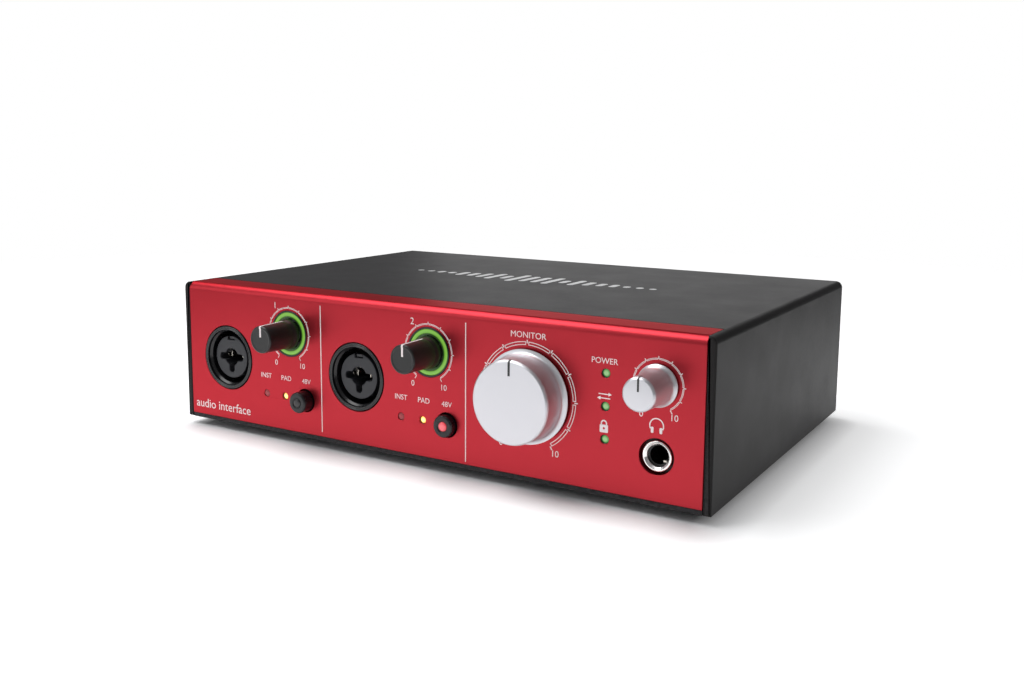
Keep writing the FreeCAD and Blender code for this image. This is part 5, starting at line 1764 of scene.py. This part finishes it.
@dataclass
class PanelPrint:
    """Words, icons and dividing lines on the front panel."""

    divider_width: float = 0.34
    divider_round: float = 0.08
    dividers: tuple[tuple[float, float, float], ...] = ((-37.9, 6.3, 51.2), (22.3, 5.6, 51.0))
    labels: tuple[tuple[str, float, float, float], ...] = (
        ("INST", -63.9, 23.6, 1.75),
        ("PAD", -54.3, 23.6, 1.75),
        ("48V", -44.9, 23.5, 1.75),
        ("INST", -3.3, 23.6, 1.75),
        ("PAD", 5.9, 23.6, 1.75),
        ("48V", 15.0, 23.5, 1.75),
        ("MONITOR", 45.2, 49.3, 1.9),
        ("POWER", 71.1, 44.3, 1.75),
        ("1", -58.9, 49.6, 2.2),
        ("2", 1.4, 49.6, 2.2),
    )
    caption: str = "audio interface"
    caption_tall: float = 3.3
    caption_at: tuple[float, float] = (-100.4, 9.0)
    arrows_at: tuple[float, float] = (71.2, 33.7)
    arrow_apart: float = 0.62
    arrow_shaft: tuple[float, float] = (3.2, 0.3)
    arrow_head: tuple[float, float, float] = (1.3, 2.4, 0.55)
    lock_at: tuple[float, float] = (71.2, 23.9)
    lock_body: tuple[float, float] = (2.7, 2.4)
    keyhole: float = 0.36
    shackle: tuple[float, float] = (0.62, 1.05)
    shackle_up: float = 1.6
    headphones_at: tuple[float, float] = (87.9, 27.2)
    headband: tuple[float, float] = (1.95, 2.3)
    headband_sweep: float = 118.0
    cup: tuple[float, float] = (0.85, 1.8)
    cup_off: float = 1.35

    def words(self) -> Form:
        """The plain words."""
        form = Form()
        for words, across, up, tall in self.labels:
            form.add(printed_words(words, tall, (across, up)))
        return form.add(printed_words(self.caption, self.caption_tall, self.caption_at, left=True))

    def lines(self) -> Form:
        """The dividing lines."""
        form = Form()
        for across, bottom, top in self.dividers:
            centre = (across, (top + bottom) / 2)
            form.add(printed(rectangle(self.divider_width, top - bottom, self.divider_round, centre)))
        return form

    def icons(self) -> Form:
        """A pair of arrows for data, a padlock and a pair of headphones."""
        form = Form()
        across, middle_up = self.arrows_at
        neck, tip, half = self.arrow_head
        for side in (-1, 1):
            up = middle_up + side * self.arrow_apart
            form.add(printed(rectangle(*self.arrow_shaft, 0, (across - side * 0.3, up))))
            base, point = across + side * neck, across + side * tip
            form.add(printed([(base, up - half), (point, up), (base, up + half)]))
        across, up = self.lock_at
        keyhole = circle(self.keyhole, (across, up + 0.1), 20)
        form.add(printed(rectangle(*self.lock_body, 0.25, self.lock_at), [keyhole]))
        form.add(printed(band(*self.shackle, -90, 90, (across, up + self.shackle_up))))
        inner, outer = self.shackle
        for side in (-1, 1):
            leg = (across + side * (inner + outer) / 2, up + 1.35)
            form.add(printed(rectangle(outer - inner, 0.6, 0, leg)))
        across, up = self.headphones_at
        form.add(printed(band(*self.headband, -self.headband_sweep, self.headband_sweep, (across, up))))
        for side in (-1, 1):
            form.add(printed(rectangle(*self.cup, 0.3, (across + side * self.cup_off, up - self.cup_off))))
        return form

    def install(self, shop: Shop) -> None:
        """Print everything."""
        for name, form in (("words", self.words()), ("dividers", self.lines()), ("icons", self.icons())):
            shop.install(f"panel_{name}", form, front_at(), "print_white")


@dataclass
class BackPrint:
    """Plain words for the connectors on the back."""

    tall: float = 1.9
    above: float = 11.6
    bracket: float = 0.3
    bracket_up: float = 0.9
    title_up: float = 3.4
    number_down: float = 2.4

    def install(self, shop: Shop) -> None:
        """Print the words, with a bracket over the four outputs."""
        form = Form()
        low, high = span("line_output_nuts")
        up = (low.z + high.z) / 2 + self.above
        near = (high.z - low.z) / 2
        pitch = (high.x - low.x - 2 * near) / 3
        for number in range(4):
            across = -(low.x + near + number * pitch)
            form.add(printed_words(str(number + 1), self.tall, (across, up - self.number_down)))
        ends = (-high.x + near, -low.x - near)
        centre = sum(ends) / 2
        form.add(printed_words("LINE OUTPUTS", self.tall, (centre, up + self.title_up)))
        form.add(printed(rectangle(ends[1] - ends[0] + 2, self.bracket, 0, (centre, up + self.bracket_up))))
        sockets = span("midi_sockets")
        tall = (sockets[1].z - sockets[0].z) / 2
        places = [("MIDI OUT", sockets[1].x - tall, up), ("MIDI IN", sockets[0].x + tall, up)]
        for words, node in (
            ("POWER", "power_frame"),
            ("DC IN", "dc_inlet"),
            ("USB", "usb_socket"),
            ("OPTICAL", "optical_input"),
        ):
            places.append((words, middle(node).x, max(up, span(node)[1].z + self.tall)))
        for words, across, line in places:
            form.add(printed_words(words, self.tall, (-across, line)))
        shop.install("back_words", form, rear_at(), "print_white")


# ---------------------------------------------------------------- studio


@dataclass
class Studio:
    """Pale floor, soft lights and the camera."""

    azimuth: float = 30.88
    elevation: float = 8.01
    roll: float = 0.44
    lens: float = 36.454
    shift: float = -0.0513
    location: tuple[float, float, float] = (0.2004, -0.33455, 0.1066)
    floor_radius: float = 3.0
    floor_glow: float = 0.55
    footprint: tuple[float, float, float] = (98.0, 66.0, 0.0)
    # how far the painted shadow round the case's footprint reaches on the floor, in millimetres
    painted_shadow_reach: float = 18.0
    front_light: float = 0.42
    back_light: float = 0.12
    darker_way: tuple[float, float, float] = (0.72, 0.69, 0.0)
    darker_span: tuple[float, float] = (-0.8, 0.5)
    fade_span: tuple[float, float] = (260.0, 700.0)
    floor_tones: tuple[Colour, Colour] = ((0.86, 0.86, 0.87), (0.89, 0.89, 0.90))
    sky: Colour = (0.97, 0.98, 1.0)
    lamps: tuple[tuple[str, Colour, Colour, tuple[float, float], float], ...] = (
        ("overhead", (-0.45, -0.15, 0.95), (0, 0, 0.03), (1.1, 0.7), 10.0),
        ("left_front", (-0.9, -0.9, 0.45), (0, -0.05, 0.03), (0.8, 0.6), 1.9),
        ("right_fill", (1.0, -0.3, 0.5), (0, 0, 0.03), (0.6, 0.6), 0.3),
        ("rear_sheen", (-0.5, 1.4, 0.34), (0.02, 0, 0.05), (0.9, 0.3), 0.9),
    )

    def camera(self) -> None:
        """Stand the camera at the front, to the right."""
        data = bpy.data.cameras.new("camera")
        data.lens = self.lens
        data.sensor_width = 36.0
        data.shift_y = self.shift
        data.clip_start = 0.01
        holder = bpy.data.objects.new("camera", data)
        bpy.context.scene.collection.objects.link(holder)
        turn, rise, roll = (math.radians(part) for part in (self.azimuth, self.elevation, self.roll))
        right = Vector((math.cos(turn), math.sin(turn), 0))
        back = Vector((math.sin(turn) * math.cos(rise), -math.cos(turn) * math.cos(rise), math.sin(rise)))
        up = back.cross(right)
        across = right * math.cos(roll) + up * math.sin(roll)
        above = up * math.cos(roll) - right * math.sin(roll)
        facing_back = Matrix((across, above, back)).transposed().to_4x4()
        holder.matrix_world = Matrix.Translation(self.location) @ facing_back
        bpy.context.scene.camera = holder

    def floor(self) -> None:
        """A round pale floor that fades into the white surroundings. It glows white, but the glow is taken
        away near the case's footprint, which paints a soft shadow round the case.
        """
        form = spun([(0, 0), (self.floor_radius / MM, 0)], 96)
        piece = bpy.data.objects.new("floor", form.build("floor"))
        bpy.context.scene.collection.objects.link(piece)
        paint = Paint("pale_floor")
        spot = paint.spot()
        fade = paint.grade(paint.radius(spot), *self.fade_span)
        tone = paint.mix(paint.noise(spot, 60, 3), *self.floor_tones)
        rough = paint.grade(paint.noise(spot, 30, 2), 0, 1, 0.5, 0.6)
        past = paint.node("ShaderNodeVectorMath", {"operation": "ABSOLUTE"}, {0: spot})
        past = paint.node("ShaderNodeVectorMath", {"operation": "SUBTRACT"}, {0: past, 1: self.footprint})
        past = paint.node("ShaderNodeVectorMath", {"operation": "MAXIMUM"}, {0: past, 1: (0, 0, 0)})
        # painted shadow: no glow under the case, rising to full glow painted_shadow_reach millimetres from
        # its footprint
        outside_painted_shadow = paint.grade(paint.radius(past), 0, self.painted_shadow_reach)
        glow = paint.mix(outside_painted_shadow, (0, 0, 0), (1, 1, 1))
        inputs = {
            "Base Color": tone,
            "Roughness": rough,
            "Specular IOR Level": 0.3,
            "Emission Color": glow,
            "Emission Strength": self.floor_glow,
        }
        solid = paint.node("ShaderNodeBsdfPrincipled", None, inputs)
        clear = paint.node("ShaderNodeBsdfTransparent")
        paint.node_output(paint.node("ShaderNodeMixShader", None, {0: fade, 1: solid, 2: clear}))
        piece.data.materials.append(paint.material)

    def light(
        self, name: str, place: Colour, target: Colour, size: tuple[float, float], power: float
    ) -> None:
        """Add one soft box that faces a point."""
        data = bpy.data.lights.new(name, "AREA")
        data.shape = "RECTANGLE"
        data.size, data.size_y = size
        data.energy = power
        holder = bpy.data.objects.new(name, data)
        bpy.context.scene.collection.objects.link(holder)
        way = Vector(target) - Vector(place)
        holder.matrix_world = Matrix.Translation(place) @ way.to_track_quat("-Z", "Y").to_matrix().to_4x4()
        holder.visible_camera = False

    def surroundings(self) -> None:
        """White surroundings: bright to the camera, softer as a light."""
        world = bpy.data.worlds.new("surroundings")
        bpy.context.scene.world = world
        world.use_nodes = True
        tree = world.node_tree
        tree.nodes.clear()
        path = tree.nodes.new("ShaderNodeLightPath")
        seen = tree.nodes.new("ShaderNodeBackground")
        seen.inputs["Color"].default_value = (1, 1, 1, 1)
        felt = tree.nodes.new("ShaderNodeBackground")
        felt.inputs["Color"].default_value = opaque(self.sky)
        way = tree.nodes.new("ShaderNodeTexCoord")
        toward = tree.nodes.new("ShaderNodeVectorMath")
        toward.operation = "DOT_PRODUCT"
        toward.inputs[1].default_value = self.darker_way
        fall = tree.nodes.new("ShaderNodeMapRange")
        for number, value in enumerate((*self.darker_span, self.front_light, self.back_light), start=1):
            fall.inputs[number].default_value = value
        mix = tree.nodes.new("ShaderNodeMixShader")
        end = tree.nodes.new("ShaderNodeOutputWorld")
        tree.links.new(way.outputs["Generated"], toward.inputs[0])
        tree.links.new(toward.outputs["Value"], fall.inputs[0])
        tree.links.new(fall.outputs[0], felt.inputs["Strength"])
        tree.links.new(path.outputs["Is Camera Ray"], mix.inputs[0])
        tree.links.new(felt.outputs[0], mix.inputs[1])
        tree.links.new(seen.outputs[0], mix.inputs[2])
        tree.links.new(mix.outputs[0], end.inputs["Surface"])

    def build(self) -> None:
        """Set the studio up."""
        self.camera()
        self.floor()
        self.surroundings()
        for lamp in self.lamps:
            self.light(*lamp)
        bpy.context.scene.view_settings.view_transform = "Standard"


# ---------------------------------------------------------------- main


MONITOR_KNOB = TurnedKnob(
    node="monitor_knob", name="monitor_cap", body="monitor", cap=13.1, foot=13.3, skirt=14.9, gap=1.0,
    rise=0.35, flare_top=3.2, hollow=0.22, pointer_from=8.3, pointer_width=0.78, pointer_down=1.4,
)
HEADPHONE_KNOB = TurnedKnob(
    node="headphone_knob", name="headphone_cap", body="headphone", cap=4.97, foot=5.15, skirt=6.33, gap=0.6,
    rise=0.4, flare_top=3.9, hollow=0.16, pointer_from=0.9, pointer_width=0.6, pointer_down=9.0,
)
GAIN_NUMBERS = (("0", -6.2, -10.9), ("10", 6.2, -11.0))
MONITOR_NUMBERS = (("10", 10.3, -16.7), ("0", -9.2, -15.9))
HEADPHONE_NUMBERS = (("10", 5.4, -8.9), ("0", -5.0, -8.9))


def main() -> None:
    """Build the studio and every piece, in order."""
    Studio().build()
    shop = Shop(Palette())
    pieces: list[Any] = [FrontShell(), CoverShell(), TopEmblem(), Feet()]
    for channel in CHANNELS:
        pieces += [ComboSocket(channel), GainControl(channel), PhantomButton(channel)]
    pieces += [Lights(), MONITOR_KNOB, HEADPHONE_KNOB, HeadphoneSocket(), PanelPrint(), BackPrint()]
    for channel in CHANNELS:
        node, name = f"gain_knob_{channel}", f"gain_scale_{channel}"
        pieces.append(Scale(node, name, 9.5, 0.5, 0.18, 0.55, GAIN_NUMBERS, 1.9))
    pieces.append(Scale("monitor_knob", "monitor_scale", 17.1, 1.15, 0.26, 0.5, MONITOR_NUMBERS, 2.0))
    pieces.append(Scale("headphone_knob", "headphone_scale", 7.95, 0.5, 0.18, 0.55, HEADPHONE_NUMBERS, 1.9))
    for each in pieces:
        each.install(shop)
        log.info("built %s", type(each).__name__)
    shop.dress_frame()


if __name__ == "__main__":
    main()
